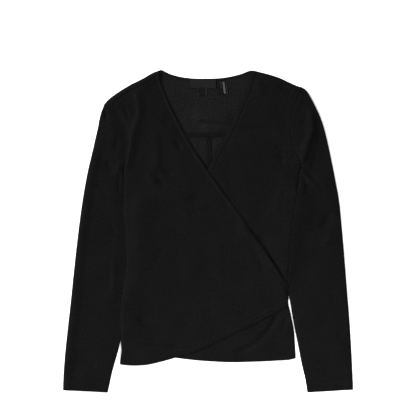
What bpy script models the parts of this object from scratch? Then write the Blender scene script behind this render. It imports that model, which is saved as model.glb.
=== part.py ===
# Black wrap top with long sleeves, laid flat on its back.
# Sizes are in millimetres and are turned to metres where a mesh is made.
# +Y runs from hem to neck, +Z is up and the underside lies at z = 0.
# Right and left are the wearer's, so the right side lies at -X.

import bpy
import bmesh
import numpy as np

MM = 0.001

# ---- cloth and how it lies ---------------------------------------------------
CLOTH = 1.2                # wall of every cloth piece
SEAM = 0.4                 # clear width between sewn pieces
SEAM_REACH = 10.0          # the points this near a seam move with it
WELD = 0.002               # points nearer than this are one point
LAY = 5.8                  # height of the front's outer face over the table
EDGE_HEIGHT = 2.9          # height of the side seams, halfway up the rounded edges
ROLL = 6.0                 # reach of a rounded edge, inwards from its fold
ROLL_POWER = 3.0           # squareness of the rounded edge
ROLL_STEPS = (0.08, 0.9, 2.6, ROLL)   # where the points across a rounded edge lie
TUCK = 3.0                 # the under front's side folds lie this far inside the over front's
UNDER_LIP = 0.35           # its clear height over the middle of the edge, where it is sewn in
DROP = 2.4                 # and its face this far below, where the over front covers it
COVER_MARGIN = 20.0        # the under front stays fully down this far past the over front
COVER_FADE = 34.0          # and comes up again over this length

# ---- binding -----------------------------------------------------------------
BAND_WIDTH = 7.0
UNDER_BAND_MORE = 2.5      # the under front's binding shows wider by this much
UNDER_BAND_REACH = 50.0    # from this far below its shoulder
BAND_WALL = 1.8            # folded binding: cloth, turning and seam allowance
BAND_PROUD = 0.3           # it stands out this far from the front panels
BAND_SEAM = 0.45           # its distance from the seam line that it shares with the panels
BAND_LIP = 0.3             # half the clear height between its ends at the shoulder folds

# ---- forward shoulder seams: width of the yoke's flap on the front ------------
FLAP_RIGHT_ARM = 18.0
FLAP_RIGHT_NECK = 10.4
FLAP_LEFT = 3.0
SHOULDER_CLEAR = 15.0      # the left seam's own points keep this far from its ends
SHOULDER_POINTS = 5

# ---- points along and across the pieces ----------------------------------------
FRONT_COLUMNS = 12
ARMHOLE_POINTS = 6
TOUCH_POINTS = 10          # from the underarm to where the sleeve leaves the side
SIDE_POINTS = 3            # from there to the hem
WRAP_POINTS = 16
BACK_ARMHOLE_POINTS = 3
BACK_COLUMNS = 8
NECK_POINTS = 8
CAP_POINTS = 8             # along the sleeve cap, from its middle down to the underarm
SLEEVE_POINTS = 6          # from where the sleeve leaves the side to the cuff
SLEEVE_COLUMNS = 6
CAP_OUTER_SHARE = 0.19     # the cap's rows end this far down the sleeve's outer fold
RUN_ON = 34.0              # a line is run on this far to find where it meets another

# ---- outlines on the table: rows of (x, y) --------------------------------------
LINES = {
    # folds of the right half (at -X); each side fold lies against the sleeve's inner
    # fold, as far as the first point of its own row
    "shoulder_right": [(-103, 337), (-115.5, 332), (-137.5, 319.5), (-162.5, 307),
                       (-184, 294), (-202, 281.5), (-215, 269)],
    "sleeve_outer_right": [(-215, 269), (-222, 254.5), (-232, 212.5), (-241.5, 170.5),
                           (-251.5, 128.5), (-259.5, 86.5), (-266, 44.5), (-274, -18.5),
                           (-281, -81.5), (-287.5, -144.5), (-294.5, -207.5), (-300, -260),
                           (-303, -302), (-304.3, -333.5)],
    "sleeve_inner_right": [(-176.5, 128.5), (-177, 97), (-176.3, 65.5), (-173.2, 27.5),
                           (-169.8, -18.5), (-169, -56.5), (-171.3, -92), (-177, -123.5),
                           (-181.3, -155), (-182.8, -197), (-183.3, -229), (-186, -241.5),
                           (-191.1, -260), (-200.1, -291.5), (-207.1, -323), (-210.6, -338.3)],
    "side_right": [(-183.3, -229), (-181.6, -247), (-182, -257), (-183.6, -266),
                   (-184.8, -280)],
    # folds of the left half (at +X)
    "shoulder_left": [(94.5, 337), (109, 333.5), (130, 328), (151, 321),
                      (172, 311), (187, 304.5), (198, 301)],
    "sleeve_outer_left": [(198, 301), (206.5, 294), (214.5, 281.5), (224.5, 262.5),
                          (237.5, 233.5), (249.5, 191.5), (258.5, 149.5), (267, 107.5),
                          (274.5, 65.5), (281, 2.5), (286.5, -60.5), (291.5, -123.5),
                          (296.5, -186.5), (300.5, -249.5), (303, -302), (304.3, -332.5)],
    "sleeve_inner_left": [(196.5, 138), (193.2, 124), (190, 103), (185.2, 71.5),
                          (180.2, 36), (175.3, -2), (171.7, -31.5), (169.6, -65),
                          (168.4, -102.5), (169.2, -134), (172.2, -148), (174, -158.5), (180.5, -197),
                          (189.1, -239), (197.1, -281), (204.4, -312.5), (208.5, -338.3)],
    "side_left": [(169.2, -134), (169.3, -141), (169.2, -148), (170, -155), (172.3, -167.5),
                  (174.7, -180), (179.5, -203.5), (182.5, -239), (184, -266.5)],
    # seams
    "shoulder_seam_right": [(-200, 259.5), (-195, 268.5), (-185, 278), (-169, 290),
                            (-143, 303.5), (-126, 311.5), (-109, 319.5)],
    "armhole_front_right": [(-215, 269), (-200.5, 260), (-189, 252), (-178.5, 238.5),
                            (-170, 220.5), (-166.5, 195.5), (-168, 170.5), (-172, 147),
                            (-176.5, 128.5)],
    "armhole_back_right": [(-215, 269), (-201.5, 250), (-190, 225), (-185, 197.5),
                           (-181.5, 170.5), (-179, 149.5), (-176.5, 128.5)],
    "armhole_front_left": [(198, 301), (191.5, 285), (182.5, 265), (176.5, 247.5),
                           (173.5, 223), (174.5, 197.5), (181.5, 172.5), (190, 154.5),
                           (196.5, 138)],
    "armhole_back_left": [(198, 301), (192, 281.5), (188, 254.5), (186, 227),
                          (187, 197.5), (189.5, 170.5), (196.5, 138)],
    # open edges
    "wrap_over": [(-103, 337), (-103, 330), (-101, 317.5), (-91.5, 290.5), (-70, 243.5),
                  (-47.5, 201), (-25, 163), (-3, 129.5), (14, 105), (30, 83), (66.5, 33.5),
                  (100.5, -12.5), (116.5, -34.5), (132, -59), (149, -86), (167, -111)],
    "wrap_under": [(94.5, 337), (93, 332), (86.5, 311), (76.5, 285.5), (64.5, 260),
                   (52, 230.5), (35, 196.5), (18.5, 165.5), (0, 132.5), (-38, 69.5),
                   (-90.5, -14.5), (-136.5, -84), (-168, -124)],
    "neck_back": [(-103, 337), (-97.5, 338.3), (-92.5, 336), (-80, 330), (-67, 326),
                  (-42, 321.5), (-4, 320), (33.5, 322), (59, 327), (71.5, 330.5),
                  (84, 335.5), (89, 337), (94.5, 337)],
    "neck_back_seam": [(-91.5, 330), (-78, 324.5), (-66, 321), (-41.5, 316.5), (-4, 315),
                       (34, 317), (60, 322), (73.5, 325.5), (86, 330.5)],
    "hem_over": [(-184, -280), (-155.5, -282), (-126, -280), (-101, -274.5), (-75.5, -267.5),
                 (-53, -261), (-4, -242), (37.5, -222), (89.5, -197.5), (131, -175.5),
                 (171, -154)],
    "hem_under": [(-180.5, -254), (-122, -259), (-73.5, -265), (-42, -269), (-4, -272.5),
                  (46, -275), (96.5, -274), (140.5, -272), (172, -269.5), (184, -266.5)],
    "hem_back_right": [(-183.8, -275), (-101, -264.5), (6.5, -260)],
    "hem_back_left": [(6.5, -260), (109, -261), (183.7, -263.5)],
    "cuff_right": [(-304.3, -333.5), (-210.6, -338.3)],
    "cuff_left": [(304.3, -332.5), (208.5, -338.3)],
}
YOKE_SEAM_Y = 197.5
CENTRE_BACK_X = 6.5
CROSSING = (0.0, 132.0)    # where the two wrap edges cross

# ---- soft ridges on the top layer ------------------------------------------------
# x, y of the middle, heading in degrees, length, half width and rise
RIDGES = (
    (-157, -8, 91, 210, 12, 2.2),      # roll along the right side of the body
    (124, -52, -56, 120, 14, 3.2),     # the wrap edge lifts off the under front
    (211, 190, 75, 90, 13, 3.6),       # fold down the left sleeve cap
    (-163, 183, 82, 80, 12, 1.8),      # fold beside the right armhole
    (208, 122, -48, 50, 11, 2.0),      # fold at the left underarm
    (-222, 66, -28, 70, 14, 1.8),      # right elbow
    (236, 66, -62, 90, 14, 1.8),       # left elbow
    (-30, 76, -20, 80, 14, 1.2),       # right front, below the crossing
    (-118, -205, -22, 90, 16, 1.4),    # right front, above the hem
    (110, -215, 48, 80, 16, 1.6),      # left front, at the low corner
    (97, 45, -35, 70, 16, 1.3),        # left front, beside the wrap edge
)

# ---- falls: an open edge rests lower than the lay ---------------------------------
NECK_FALL = 1.6
NECK_REACH = 35.0
CROSSING_CLEAR = (25.0, 75.0)   # the neck's fall starts and is full this far from the crossing
HEM_OVER_FALL = 0.6
HEM_UNDER_FALL = 2.0
CUFF_FALL = 1.6
HEM_REACH = 30.0
FOLD_CLEAR = 25.0               # no fall this near a fold

# ---- labels inside the back neck: left, right, top, bottom, lowest z ----------------
LABEL_WALL = 1.0
LABELS = {
    "size_tab": (-16, -3, 300.4, 284.5, 1.5),
    "care_leaf_3": (20.5, 40.5, 313.5, 285, 1.5),
    "care_leaf_2": (20.5, 34, 313.5, 288, 2.8),
    "care_leaf_1": (20.5, 27.5, 313.5, 302.5, 4.1),
}
NECK_LABEL = (-38, 18, 318, 301)
NECK_LABEL_HEIGHTS = (2.8, 2.8, 1.8, 1.6)   # over the binding, then down on the yoke
NECK_LABEL_ROWS = (0.0, 0.28, 0.5, 1.0)

BLACK_CREPE = (0.0105, 0.0105, 0.0115, 1.0)
BLACK_BINDING = (0.012, 0.012, 0.013, 1.0)
BLACK_SATIN = (0.008, 0.008, 0.009, 1.0)


# ---- lines -------------------------------------------------------------------------
def smooth_line(points, step=1.0):
    """A smooth curve through the points, as a line with a point every step."""
    p = np.array(points, float)
    t = np.concatenate(([0.0], np.cumsum(np.linalg.norm(np.diff(p, axis=0), axis=1))))
    tangent = np.gradient(p, t, axis=0)
    s = np.linspace(0.0, t[-1], int(t[-1] / step) + 2)
    k = np.clip(np.searchsorted(t, s, side="right") - 1, 0, len(t) - 2)
    h = (t[k + 1] - t[k])[:, None]
    u = (s - t[k])[:, None] / h
    return ((2 * u**3 - 3 * u**2 + 1) * p[k] + (u**3 - 2 * u**2 + u) * h * tangent[k]
            + (3 * u**2 - 2 * u**3) * p[k + 1] + (u**3 - u**2) * h * tangent[k + 1])


def lengths(line):
    return np.concatenate(([0.0], np.cumsum(np.linalg.norm(np.diff(line, axis=0), axis=1))))


def at(line, distances):
    """Points on the line at these distances from its start."""
    s = lengths(line)
    return np.stack([np.interp(distances, s, line[:, k]) for k in (0, 1)], axis=-1)


def cut(line, start, end):
    """The stretch of the line between two distances."""
    s = lengths(line)
    inside = line[(s > start + 1e-6) & (s < end - 1e-6)]
    return np.vstack([at(line, start), inside, at(line, end)])


def join(*lines):
    return np.vstack([lines[0]] + [line[1:] for line in lines[1:]])


def finer(line, count):
    """The line with its longest steps halved until it has this many steps."""
    while len(line) <= count:
        k = np.argmax(np.linalg.norm(np.diff(line, axis=0), axis=1))
        line = np.insert(line, k + 1, (line[k] + line[k + 1]) / 2, axis=0)
    return line


def sides(line):
    """Unit vectors to the left of the line at each of its points."""
    along = np.gradient(line, axis=0)
    along /= np.linalg.norm(along, axis=1)[:, None]
    return np.stack([-along[:, 1], along[:, 0]], axis=1)


def side_distance(line, x, y):
    """Distance to the line, positive on its left side."""
    points = np.stack([np.ravel(x), np.ravel(y)], axis=1)[:, None, :]
    a, ab = line[:-1][None], np.diff(line, axis=0)[None]
    t = np.clip(np.sum((points - a) * ab, axis=2) / np.sum(ab * ab, axis=2), 0.0, 1.0)
    away = points - (a + t[..., None] * ab)
    distance = np.linalg.norm(away, axis=2)
    rows, best = np.arange(len(points)), np.argmin(distance, axis=1)
    step, gone = ab[0][best], away[rows, best]
    sign = np.where(step[:, 0] * gone[:, 1] - step[:, 1] * gone[:, 0] >= 0, 1.0, -1.0)
    return (sign * distance[rows, best]).reshape(np.shape(x))


def crossing(line, other):
    """How far along the line it crosses the other line."""
    side = side_distance(other, line[:, 0], line[:, 1])
    k = np.flatnonzero(np.diff(np.sign(side)))[0]
    s = lengths(line)
    return s[k] + (s[k + 1] - s[k]) * side[k] / (side[k] - side[k + 1])


def spread(length, count, start_roll=True, end_roll=True):
    """Distances along a length: even steps, with a rounded edge's steps at its ends."""
    near = list(ROLL_STEPS) if start_roll else [0.0]
    far = list(ROLL_STEPS) if end_roll else [0.0]
    middle = np.linspace(near[-1], length - far[-1], count + 1)
    start = [0.0] + near[:-1] if start_roll else []
    end = [length - step for step in reversed([0.0] + far[:-1])] if end_roll else []
    return np.array(start + list(middle) + end)


def flap_steps(width):
    """Distances across a shoulder flap, from its fold to its seam."""
    if width < ROLL:
        return np.array([0.0, *ROLL_STEPS[:2], (ROLL_STEPS[1] + width) / 2, width])
    return np.array([0.0, *ROLL_STEPS, (ROLL + width) / 2, width])


def smooth_step(x):
    x = np.clip(x, 0.0, 1.0)
    return x * x * (3 - 2 * x)


CURVES = {name: smooth_line(points) for name, points in LINES.items()}
for side in ("right", "left"):
    # the shoulder and the sleeve's outer fold run on smoothly, past the shoulder point
    shoulder, sleeve = LINES["shoulder_" + side], LINES["sleeve_outer_" + side]
    whole = smooth_line(shoulder + sleeve[1:])
    point = np.argmin(np.linalg.norm(whole - np.array(sleeve[0]), axis=1))
    whole[point] = sleeve[0]
    CURVES["shoulder_" + side] = whole[:point + 1]
    CURVES["sleeve_outer_" + side] = whole[point:]

    inner, own = CURVES["sleeve_inner_" + side], CURVES["side_" + side]
    parting = np.argmin(np.linalg.norm(inner - own[0], axis=1))
    CURVES["side_" + side] = join(inner[:parting + 1], own)


def down_side(line, side, end, count):
    """Points down a side or inner fold: to where the sleeve parts from the side, then on."""
    own = np.array(LINES["side_" + side][0])
    touch = lengths(line)[np.argmin(np.linalg.norm(line - own, axis=1))]
    return at(line, np.concatenate([np.linspace(0, touch, TOUCH_POINTS + 1),
                                    np.linspace(touch, end, count + 1)[1:]]))


def tucked(name, inward):
    """A side fold moved in where the over front covers it."""
    line = CURVES[name]
    return line + inward * sides(line) * (TUCK * cover(line[:, 0], line[:, 1]))[:, None]


def longer(line, extra):
    """The line run straight on past both ends, with a point every millimetre."""
    first, last = line[0] - line[1], line[-1] - line[-2]
    steps = np.arange(1.0, extra + 0.5)[:, None]
    before = line[0] + steps[::-1] * first / np.linalg.norm(first)
    after = line[-1] + steps * last / np.linalg.norm(last)
    return np.vstack([before, line, after])


WRAP_LIMIT = longer(CURVES["wrap_over"], COVER_MARGIN + COVER_FADE)
HEM_LIMIT = longer(CURVES["hem_over"], COVER_MARGIN + COVER_FADE)


def cover(x, y):
    """1 where the over front lies on the under front, fading to 0 beside it."""
    outside = np.maximum(side_distance(WRAP_LIMIT, x, y), -side_distance(HEM_LIMIT, x, y))
    return 1.0 - smooth_step((outside - COVER_MARGIN) / COVER_FADE)


FOLDS = [CURVES[name] for name in LINES
         if name.startswith(("sleeve_", "side_")) or name in ("shoulder_right", "shoulder_left")]
SIDE_RIGHT_IN = tucked("side_right", 1.0)
SIDE_LEFT_IN = tucked("side_left", -1.0)
FOLDS_UNDER = [line for line in FOLDS
               if line is not CURVES["side_right"] and line is not CURVES["side_left"]]
FOLDS_UNDER += [SIDE_RIGHT_IN, SIDE_LEFT_IN]


# ---- heights -----------------------------------------------------------------------
def fold_distance(x, y, folds=FOLDS):
    nearest = np.min([np.abs(side_distance(line, x, y)) for line in folds], axis=0)
    return np.maximum(0.0, nearest - 0.02)


def roundness(distance):
    """0 on a fold, rising steeply to 1 where the rounded edge ends."""
    q = np.clip(distance / ROLL, 0.0, 1.0)
    return (1.0 - (1.0 - q) ** ROLL_POWER) ** (1.0 / ROLL_POWER)


def ridges(x, y):
    z = np.zeros(np.shape(x))
    for mid_x, mid_y, heading, length, width, rise in RIDGES:
        c, s = np.cos(np.radians(heading)), np.sin(np.radians(heading))
        along = (x - mid_x) * c + (y - mid_y) * s
        across = (y - mid_y) * c - (x - mid_x) * s
        z += rise * np.exp(-(across / width) ** 2 - (2 * along / length) ** 4)
    return z


def near_line(name, x, y, reach):
    return 1.0 - smooth_step(np.abs(side_distance(CURVES[name], x, y)) / reach)


def top_height(x, y, under=False):
    """Height of the outer face of the top layer, away from the rounded edges."""
    covered = cover(x, y) if under else 0.0
    from_crossing = np.hypot(x - CROSSING[0], y - CROSSING[1])
    start, full = CROSSING_CLEAR
    above = smooth_step((from_crossing - start) / (full - start)) * (y > CROSSING[1])
    inner = smooth_step(fold_distance(x, y) / FOLD_CLEAR)
    if under:
        fall = NECK_FALL * near_line("wrap_under", x, y, NECK_REACH) * above
        fall = fall + HEM_UNDER_FALL * near_line("hem_under", x, y, HEM_REACH)
    else:
        fall = NECK_FALL * near_line("wrap_over", x, y, NECK_REACH) * above
        fall = fall + HEM_OVER_FALL * near_line("hem_over", x, y, HEM_REACH)
        for cuff in ("cuff_right", "cuff_left"):
            fall = fall + CUFF_FALL * near_line(cuff, x, y, HEM_REACH)
    return LAY - DROP * covered + (1.0 - covered) * (ridges(x, y) - fall * inner)


def lift_top(plan, under=False, lip=SEAM / 2, proud=0.0):
    x, y = plan[..., 0], plan[..., 1]
    low = EDGE_HEIGHT + lip
    high = top_height(x, y, under) + proud
    folds = FOLDS_UNDER if under else FOLDS
    z = low + (high - low) * roundness(fold_distance(x, y, folds))
    return np.concatenate([plan, z[..., None]], axis=-1)


def lift_bottom(plan, lip=SEAM / 2):
    z = (EDGE_HEIGHT - lip) * (1.0 - roundness(fold_distance(plan[..., 0], plan[..., 1])))
    return np.concatenate([plan, z[..., None]], axis=-1)


# ---- patches -----------------------------------------------------------------------
def patch(top, bottom, left, right, columns):
    """Rows of points that fill four sides: top and bottom are lines, left and right
    lists with a point for each row. columns gives a row's distances from its width."""
    v_left, v_right = lengths(left) / lengths(left)[-1], lengths(right) / lengths(right)[-1]
    rows = []
    for i, (a, b) in enumerate(zip(left, right)):
        width = np.linalg.norm(b - a)
        if i in (0, len(left) - 1):
            width = lengths(top if i == 0 else bottom)[-1]
        steps = columns(i, width)
        u = (steps / steps[-1])[:, None]
        v = (1 - u) * v_left[i] + u * v_right[i]
        upper, lower = at(top, u[:, 0] * lengths(top)[-1]), at(bottom, u[:, 0] * lengths(bottom)[-1])
        corners = ((1 - u) * ((1 - v) * left[0] + v * left[-1])
                   + u * ((1 - v) * right[0] + v * right[-1]))
        rows.append((1 - v) * upper + v * lower + (1 - u) * a + u * b - corners)
    return np.array(rows)


def part_seams(grid, which, gap=SEAM / 2):
    """Moves the named sides of the grid inwards on the table by half a seam's width."""
    moved = grid.copy()
    for side in which:
        turned = grid if side in ("left", "right") else np.swapaxes(grid, 0, 1)
        edge, inner = (turned[:, 0], turned[:, -1])
        if side in ("right", "bottom"):
            edge, inner = inner, edge
        width = np.linalg.norm((inner - edge)[:, :2], axis=1)[:, None]
        across = sides(edge[:, :2])
        facing = np.sign(np.sum(across * (inner - edge)[:, :2], axis=1))[:, None]
        steps = np.linalg.norm((turned - edge[:, None])[..., :2], axis=2)
        share = np.clip(1.0 - steps / np.minimum(SEAM_REACH, width), 0.0, 1.0)[..., None]
        shift = gap * share * (across * facing)[:, None]
        moved[..., :2] += shift if turned is grid else np.swapaxes(shift, 0, 1)
    return moved


# ---- objects -----------------------------------------------------------------------
def clear_scene():
    for item in list(bpy.data.objects):
        bpy.data.objects.remove(item)


def make_material(name, colour, roughness):
    material = bpy.data.materials.new(name)
    material.use_nodes = True
    shader = material.node_tree.nodes["Principled BSDF"]
    shader.inputs["Base Color"].default_value = colour
    shader.inputs["Roughness"].default_value = roughness
    shader.inputs["Metallic"].default_value = 0.0
    material.diffuse_color = colour
    return material


def make_cloth(name, parts, material, wall=CLOTH):
    """A cloth piece. Each part is a grid of points of its outer face and whether that
    faces up; parts join where their points meet, and Solidify gives the wall."""
    shape = bmesh.new()
    for grid, faces_up in parts:
        points = [[shape.verts.new(point * MM) for point in row] for row in grid]
        down, across = (grid[-1, 0] - grid[-2, 0])[:2], (grid[-1, -1] - grid[-1, 0])[:2]
        turned = (down[0] * across[1] - down[1] * across[0] > 0) != faces_up
        for i in range(len(grid) - 1):
            for j in range(len(grid[0]) - 1):
                quad = [points[i][j], points[i + 1][j], points[i + 1][j + 1], points[i][j + 1]]
                shape.faces.new(quad[::-1] if turned else quad)
    bmesh.ops.remove_doubles(shape, verts=shape.verts, dist=WELD * MM)
    mesh = bpy.data.meshes.new(name)
    shape.to_mesh(mesh)
    shape.free()
    mesh.materials.append(material)
    mesh.shade_smooth()
    piece = bpy.data.objects.new(name, mesh)
    bpy.data.collections["wrap_top"].objects.link(piece)
    solid = piece.modifiers.new("wall", "SOLIDIFY")
    solid.thickness = wall * MM
    solid.offset = -1.0


def make_box(name, left, right, top, bottom, low, wall, material):
    bpy.ops.mesh.primitive_cube_add(size=1.0)
    piece = bpy.context.object
    piece.name = piece.data.name = name
    piece.scale = ((right - left) * MM, (top - bottom) * MM, wall * MM)
    piece.location = ((left + right) / 2 * MM, (top + bottom) / 2 * MM, (low + wall / 2) * MM)
    bpy.ops.object.transform_apply(location=False, rotation=False, scale=True)
    piece.data.materials.append(material)
    for collection in list(piece.users_collection):
        collection.objects.unlink(piece)
    bpy.data.collections["wrap_top"].objects.link(piece)


# ---- seams that two or more pieces share -------------------------------------------
def trim(line, start, end):
    """The line between the two lines that it crosses, run on to meet them if short."""
    line = longer(line, RUN_ON)
    return cut(line, crossing(line, start), crossing(line, end))


def end_on(line, start=None, end=None):
    """The line with its first or last point moved to the given one."""
    line = line.copy()
    if start is not None:
        line[0] = start
    if end is not None:
        line[-1] = end
    return line


def front_armhole(line, flap):
    """Points down a front armhole: across the yoke's flap, then along the front."""
    front = flap + spread(lengths(line)[-1] - flap, ARMHOLE_POINTS, start_roll=False)
    return at(line, np.concatenate([flap_steps(flap), front[1:]]))


def back_armhole(line, yoke):
    """Points down a back armhole: as many along the yoke as below it, on the back."""
    upper = spread(yoke, BACK_ARMHOLE_POINTS, end_roll=False)
    lower = yoke + spread(lengths(line)[-1] - yoke, BACK_ARMHOLE_POINTS, start_roll=False)
    return at(line, np.concatenate([upper, lower[1:]]))


def make_seams():
    """Every seam line, trimmed where it meets its neighbours."""
    c = CURVES
    more = UNDER_BAND_MORE * smooth_step(lengths(c["wrap_under"]) / UNDER_BAND_REACH)
    seams = {
        "wrap_over": trim(c["wrap_over"] - BAND_WIDTH * sides(c["wrap_over"]),
                          c["shoulder_right"], c["side_left"]),
        "wrap_under": trim(c["wrap_under"] + (BAND_WIDTH + more)[:, None] * sides(c["wrap_under"]),
                           c["shoulder_left"], SIDE_RIGHT_IN),
    }
    neck_right, neck_left = seams["wrap_over"][0], seams["wrap_under"][0]
    seams["neck_back"] = smooth_line([neck_right, *LINES["neck_back_seam"], neck_left])
    for side, neck in (("right", neck_right), ("left", neck_left)):
        fold = c["shoulder_" + side]
        start = crossing(fold, seams["wrap_over" if side == "right" else "wrap_under"])
        seams["fold_" + side] = end_on(cut(fold, start, lengths(fold)[-1]), start=neck)
    level = np.array([(-400.0, YOKE_SEAM_Y), (400.0, YOKE_SEAM_Y)])
    for side, flap in (("right", FLAP_RIGHT_ARM), ("left", FLAP_LEFT)):
        front, back = c["armhole_front_" + side], c["armhole_back_" + side]
        seams["armhole_front_" + side] = front_armhole(front, flap)
        seams["armhole_back_" + side] = back_armhole(back, crossing(back, level))
    right_arm = at(c["armhole_front_right"], FLAP_RIGHT_ARM)
    right_neck = at(seams["wrap_over"], FLAP_RIGHT_NECK)
    seams["shoulder_right"] = smooth_line(
        [right_arm, *LINES["shoulder_seam_right"][1:-1], right_neck])
    fold = seams["fold_left"]
    clear = np.linspace(SHOULDER_CLEAR, lengths(fold)[-1] - SHOULDER_CLEAR, SHOULDER_POINTS)
    beside = at(fold - FLAP_LEFT * sides(fold), clear)
    seams["shoulder_left"] = smooth_line(
        [at(seams["wrap_under"], FLAP_LEFT), *beside, at(c["armhole_front_left"], FLAP_LEFT)])
    return seams


def even(columns, both=True):
    """Column distances for a patch whose two sides may be rounded edges."""
    return lambda row, width: spread(width, columns, start_roll=True, end_roll=both)


# ---- pieces ------------------------------------------------------------------------
def make_front_over(seams, material):
    side, wrap = CURVES["side_right"], seams["wrap_over"]
    armhole = seams["armhole_front_right"][len(flap_steps(FLAP_RIGHT_ARM)) - 1:]
    hem = trim(CURVES["hem_over"], side, CURVES["side_left"])
    side_end = crossing(side, longer(hem, RUN_ON))
    left = join(armhole, down_side(side, "right", side_end, SIDE_POINTS))
    far = CURVES["side_left"]
    end = np.array([at(far, crossing(far, longer(wrap, RUN_ON))), LINES["side_left"][0],
                    at(far, crossing(far, longer(hem, RUN_ON)))])
    right = join(at(wrap, wrap_steps(wrap, FLAP_RIGHT_NECK)), end)
    plan = patch(seams["shoulder_right"], hem, left, right, even(FRONT_COLUMNS))
    grid = part_seams(lift_top(plan), ("top", "left", "right"))
    make_cloth("front_over", [(grid, True)], material)


def wrap_steps(wrap, flap):
    return flap + spread(lengths(wrap)[-1] - flap, WRAP_POINTS, start_roll=False)


def make_front_under(seams, material):
    armhole = seams["armhole_front_left"][len(flap_steps(FLAP_LEFT)) - 1:]
    wrap = seams["wrap_under"]
    hem = trim(CURVES["hem_under"], SIDE_RIGHT_IN, SIDE_LEFT_IN)
    far = SIDE_RIGHT_IN
    end = np.linspace(crossing(far, longer(wrap, RUN_ON)), crossing(far, longer(hem, RUN_ON)), 3)
    left = join(at(wrap, wrap_steps(wrap, FLAP_LEFT)), at(far, end))
    side_end = crossing(longer(SIDE_LEFT_IN, RUN_ON), longer(hem, RUN_ON)) - RUN_ON
    right = join(armhole, down_side(SIDE_LEFT_IN, "left", side_end, SIDE_POINTS))
    plan = patch(seams["shoulder_left"], hem, left, right, even(FRONT_COLUMNS))
    grid = part_seams(lift_top(plan, True, UNDER_LIP), ("top", "left", "right"))
    make_cloth("front_under", [(grid, True)], material)


def make_back(side, seams, material):
    armhole, fold = seams["armhole_back_" + side], CURVES["side_" + side]
    centre = np.array([(CENTRE_BACK_X, YOKE_SEAM_Y), (CENTRE_BACK_X, LINES["hem_back_left"][0][1])])
    hem = CURVES["hem_back_" + side]
    hem = hem if side == "right" else hem[::-1]
    side_end = crossing(fold, longer(hem, RUN_ON))
    hem = end_on(hem, start=at(fold, side_end))
    outer = join(armhole[len(armhole) // 2:], down_side(fold, side, side_end, SIDE_POINTS))
    inner = at(centre, np.linspace(0, lengths(centre)[-1], len(outer)))
    top = np.array([outer[0], centre[0]])
    plan = patch(top, hem, outer, inner, even(BACK_COLUMNS, both=False))
    grid = part_seams(lift_bottom(plan), ("top", "left", "right"))
    make_cloth("back_" + side, [(grid, False)], material)


def make_yoke(seams, material):
    fold_right, neck = seams["fold_right"][::-1], seams["neck_back"]
    fold_left = seams["fold_left"]
    top = join(fold_right, neck, fold_left)
    half = len(seams["armhole_back_right"]) // 2 + 1
    ends = {side: seams["armhole_back_" + side][:half] for side in ("right", "left")}
    bottom = np.array([ends["right"][-1], ends["left"][-1]])
    across = np.concatenate([
        spread(lengths(fold_right)[-1], FRONT_COLUMNS),
        lengths(fold_right)[-1] + spread(lengths(neck)[-1], NECK_POINTS)[1:],
        lengths(fold_right)[-1] + lengths(neck)[-1]
        + spread(lengths(fold_left)[-1], FRONT_COLUMNS)[1:]])
    plan = patch(top, bottom, ends["right"], ends["left"], lambda row, width: across)
    body = part_seams(lift_bottom(plan, lip=0.0), ("left", "right", "bottom"))
    neck_start = FRONT_COLUMNS + 2 * len(ROLL_STEPS)
    neck_end = neck_start + NECK_POINTS + 2 * len(ROLL_STEPS)
    at_neck = body[:, neck_start:neck_end + 1]
    along = spread(lengths(neck)[-1], NECK_POINTS)
    ramp = np.clip(np.minimum(along, along[-1] - along) / ROLL_STEPS[2], 0.0, 1.0)[:, None]
    body[:, neck_start:neck_end + 1] += ramp * (part_seams(at_neck, ("top",)) - at_neck)

    arm = seams["armhole_front_right"][:len(flap_steps(FLAP_RIGHT_ARM))]
    right = patch(fold_right, seams["shoulder_right"], arm,
                  at(seams["wrap_over"], flap_steps(FLAP_RIGHT_NECK)), even(FRONT_COLUMNS))
    arm = seams["armhole_front_left"][:len(flap_steps(FLAP_LEFT))]
    left = patch(fold_left, seams["shoulder_left"],
                 at(seams["wrap_under"], flap_steps(FLAP_LEFT)), arm, even(FRONT_COLUMNS))
    parts = [(body, False)]
    for flap, columns in ((right, slice(0, neck_start + 1)), (left, slice(neck_end, None))):
        raised = part_seams(lift_top(flap, lip=0.0), ("bottom", "left", "right"))
        raised[0] = body[0, columns]
        parts.append((raised, True))
    make_cloth("back_yoke", parts, material)


def make_sleeve(side, seams, material):
    """A flat tube. Its upper half's rows run from the outer fold to the armhole, down to
    the underarm, and then to the inner fold; so do its lower half's."""
    cuff, outer_fold = CURVES["cuff_" + side], CURVES["sleeve_outer_" + side]
    inner_fold = CURVES["sleeve_inner_" + side]
    columns, cap = SLEEVE_COLUMNS + 2 * len(ROLL_STEPS), CAP_POINTS + len(ROLL_STEPS)
    down = np.concatenate([np.linspace(0, CAP_OUTER_SHARE, cap + 1),
                           np.linspace(CAP_OUTER_SHARE, 1,
                                       TOUCH_POINTS + SLEEVE_POINTS + 1)[1:]])
    outer = end_on(at(outer_fold, down * lengths(outer_fold)[-1]), end=cuff[0])
    inner = down_side(inner_fold, side, lengths(inner_fold)[-1], SLEEVE_POINTS)
    inner = end_on(inner, end=cuff[-1])
    halves = []
    for name, lift in (("armhole_front_", lift_top), ("armhole_back_", lift_bottom)):
        armhole = finer(seams[name + side], columns + cap)
        top = armhole[:columns + 1]
        plan = np.array([top] + [across(a, b) for a, b in
                                 zip(outer[1:], join(armhole[columns:], inner)[1:])])
        half = lift(plan, lip=0.0)
        # the armhole is one line along both sides, so each point takes one of the shifts
        by_top, by_side = part_seams(half, ("top",)), part_seams(half, ("right",))
        further = (np.linalg.norm(by_side - half, axis=2)
                   > np.linalg.norm(by_top - half, axis=2))[..., None]
        halves.append(np.where(further, by_side, by_top))
    front, back = halves
    back[:, 0] = front[:, 0]
    back[cap:, -1] = front[cap:, -1]
    make_cloth("sleeve_" + side, [(front, True), (back, False)], material)


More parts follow.
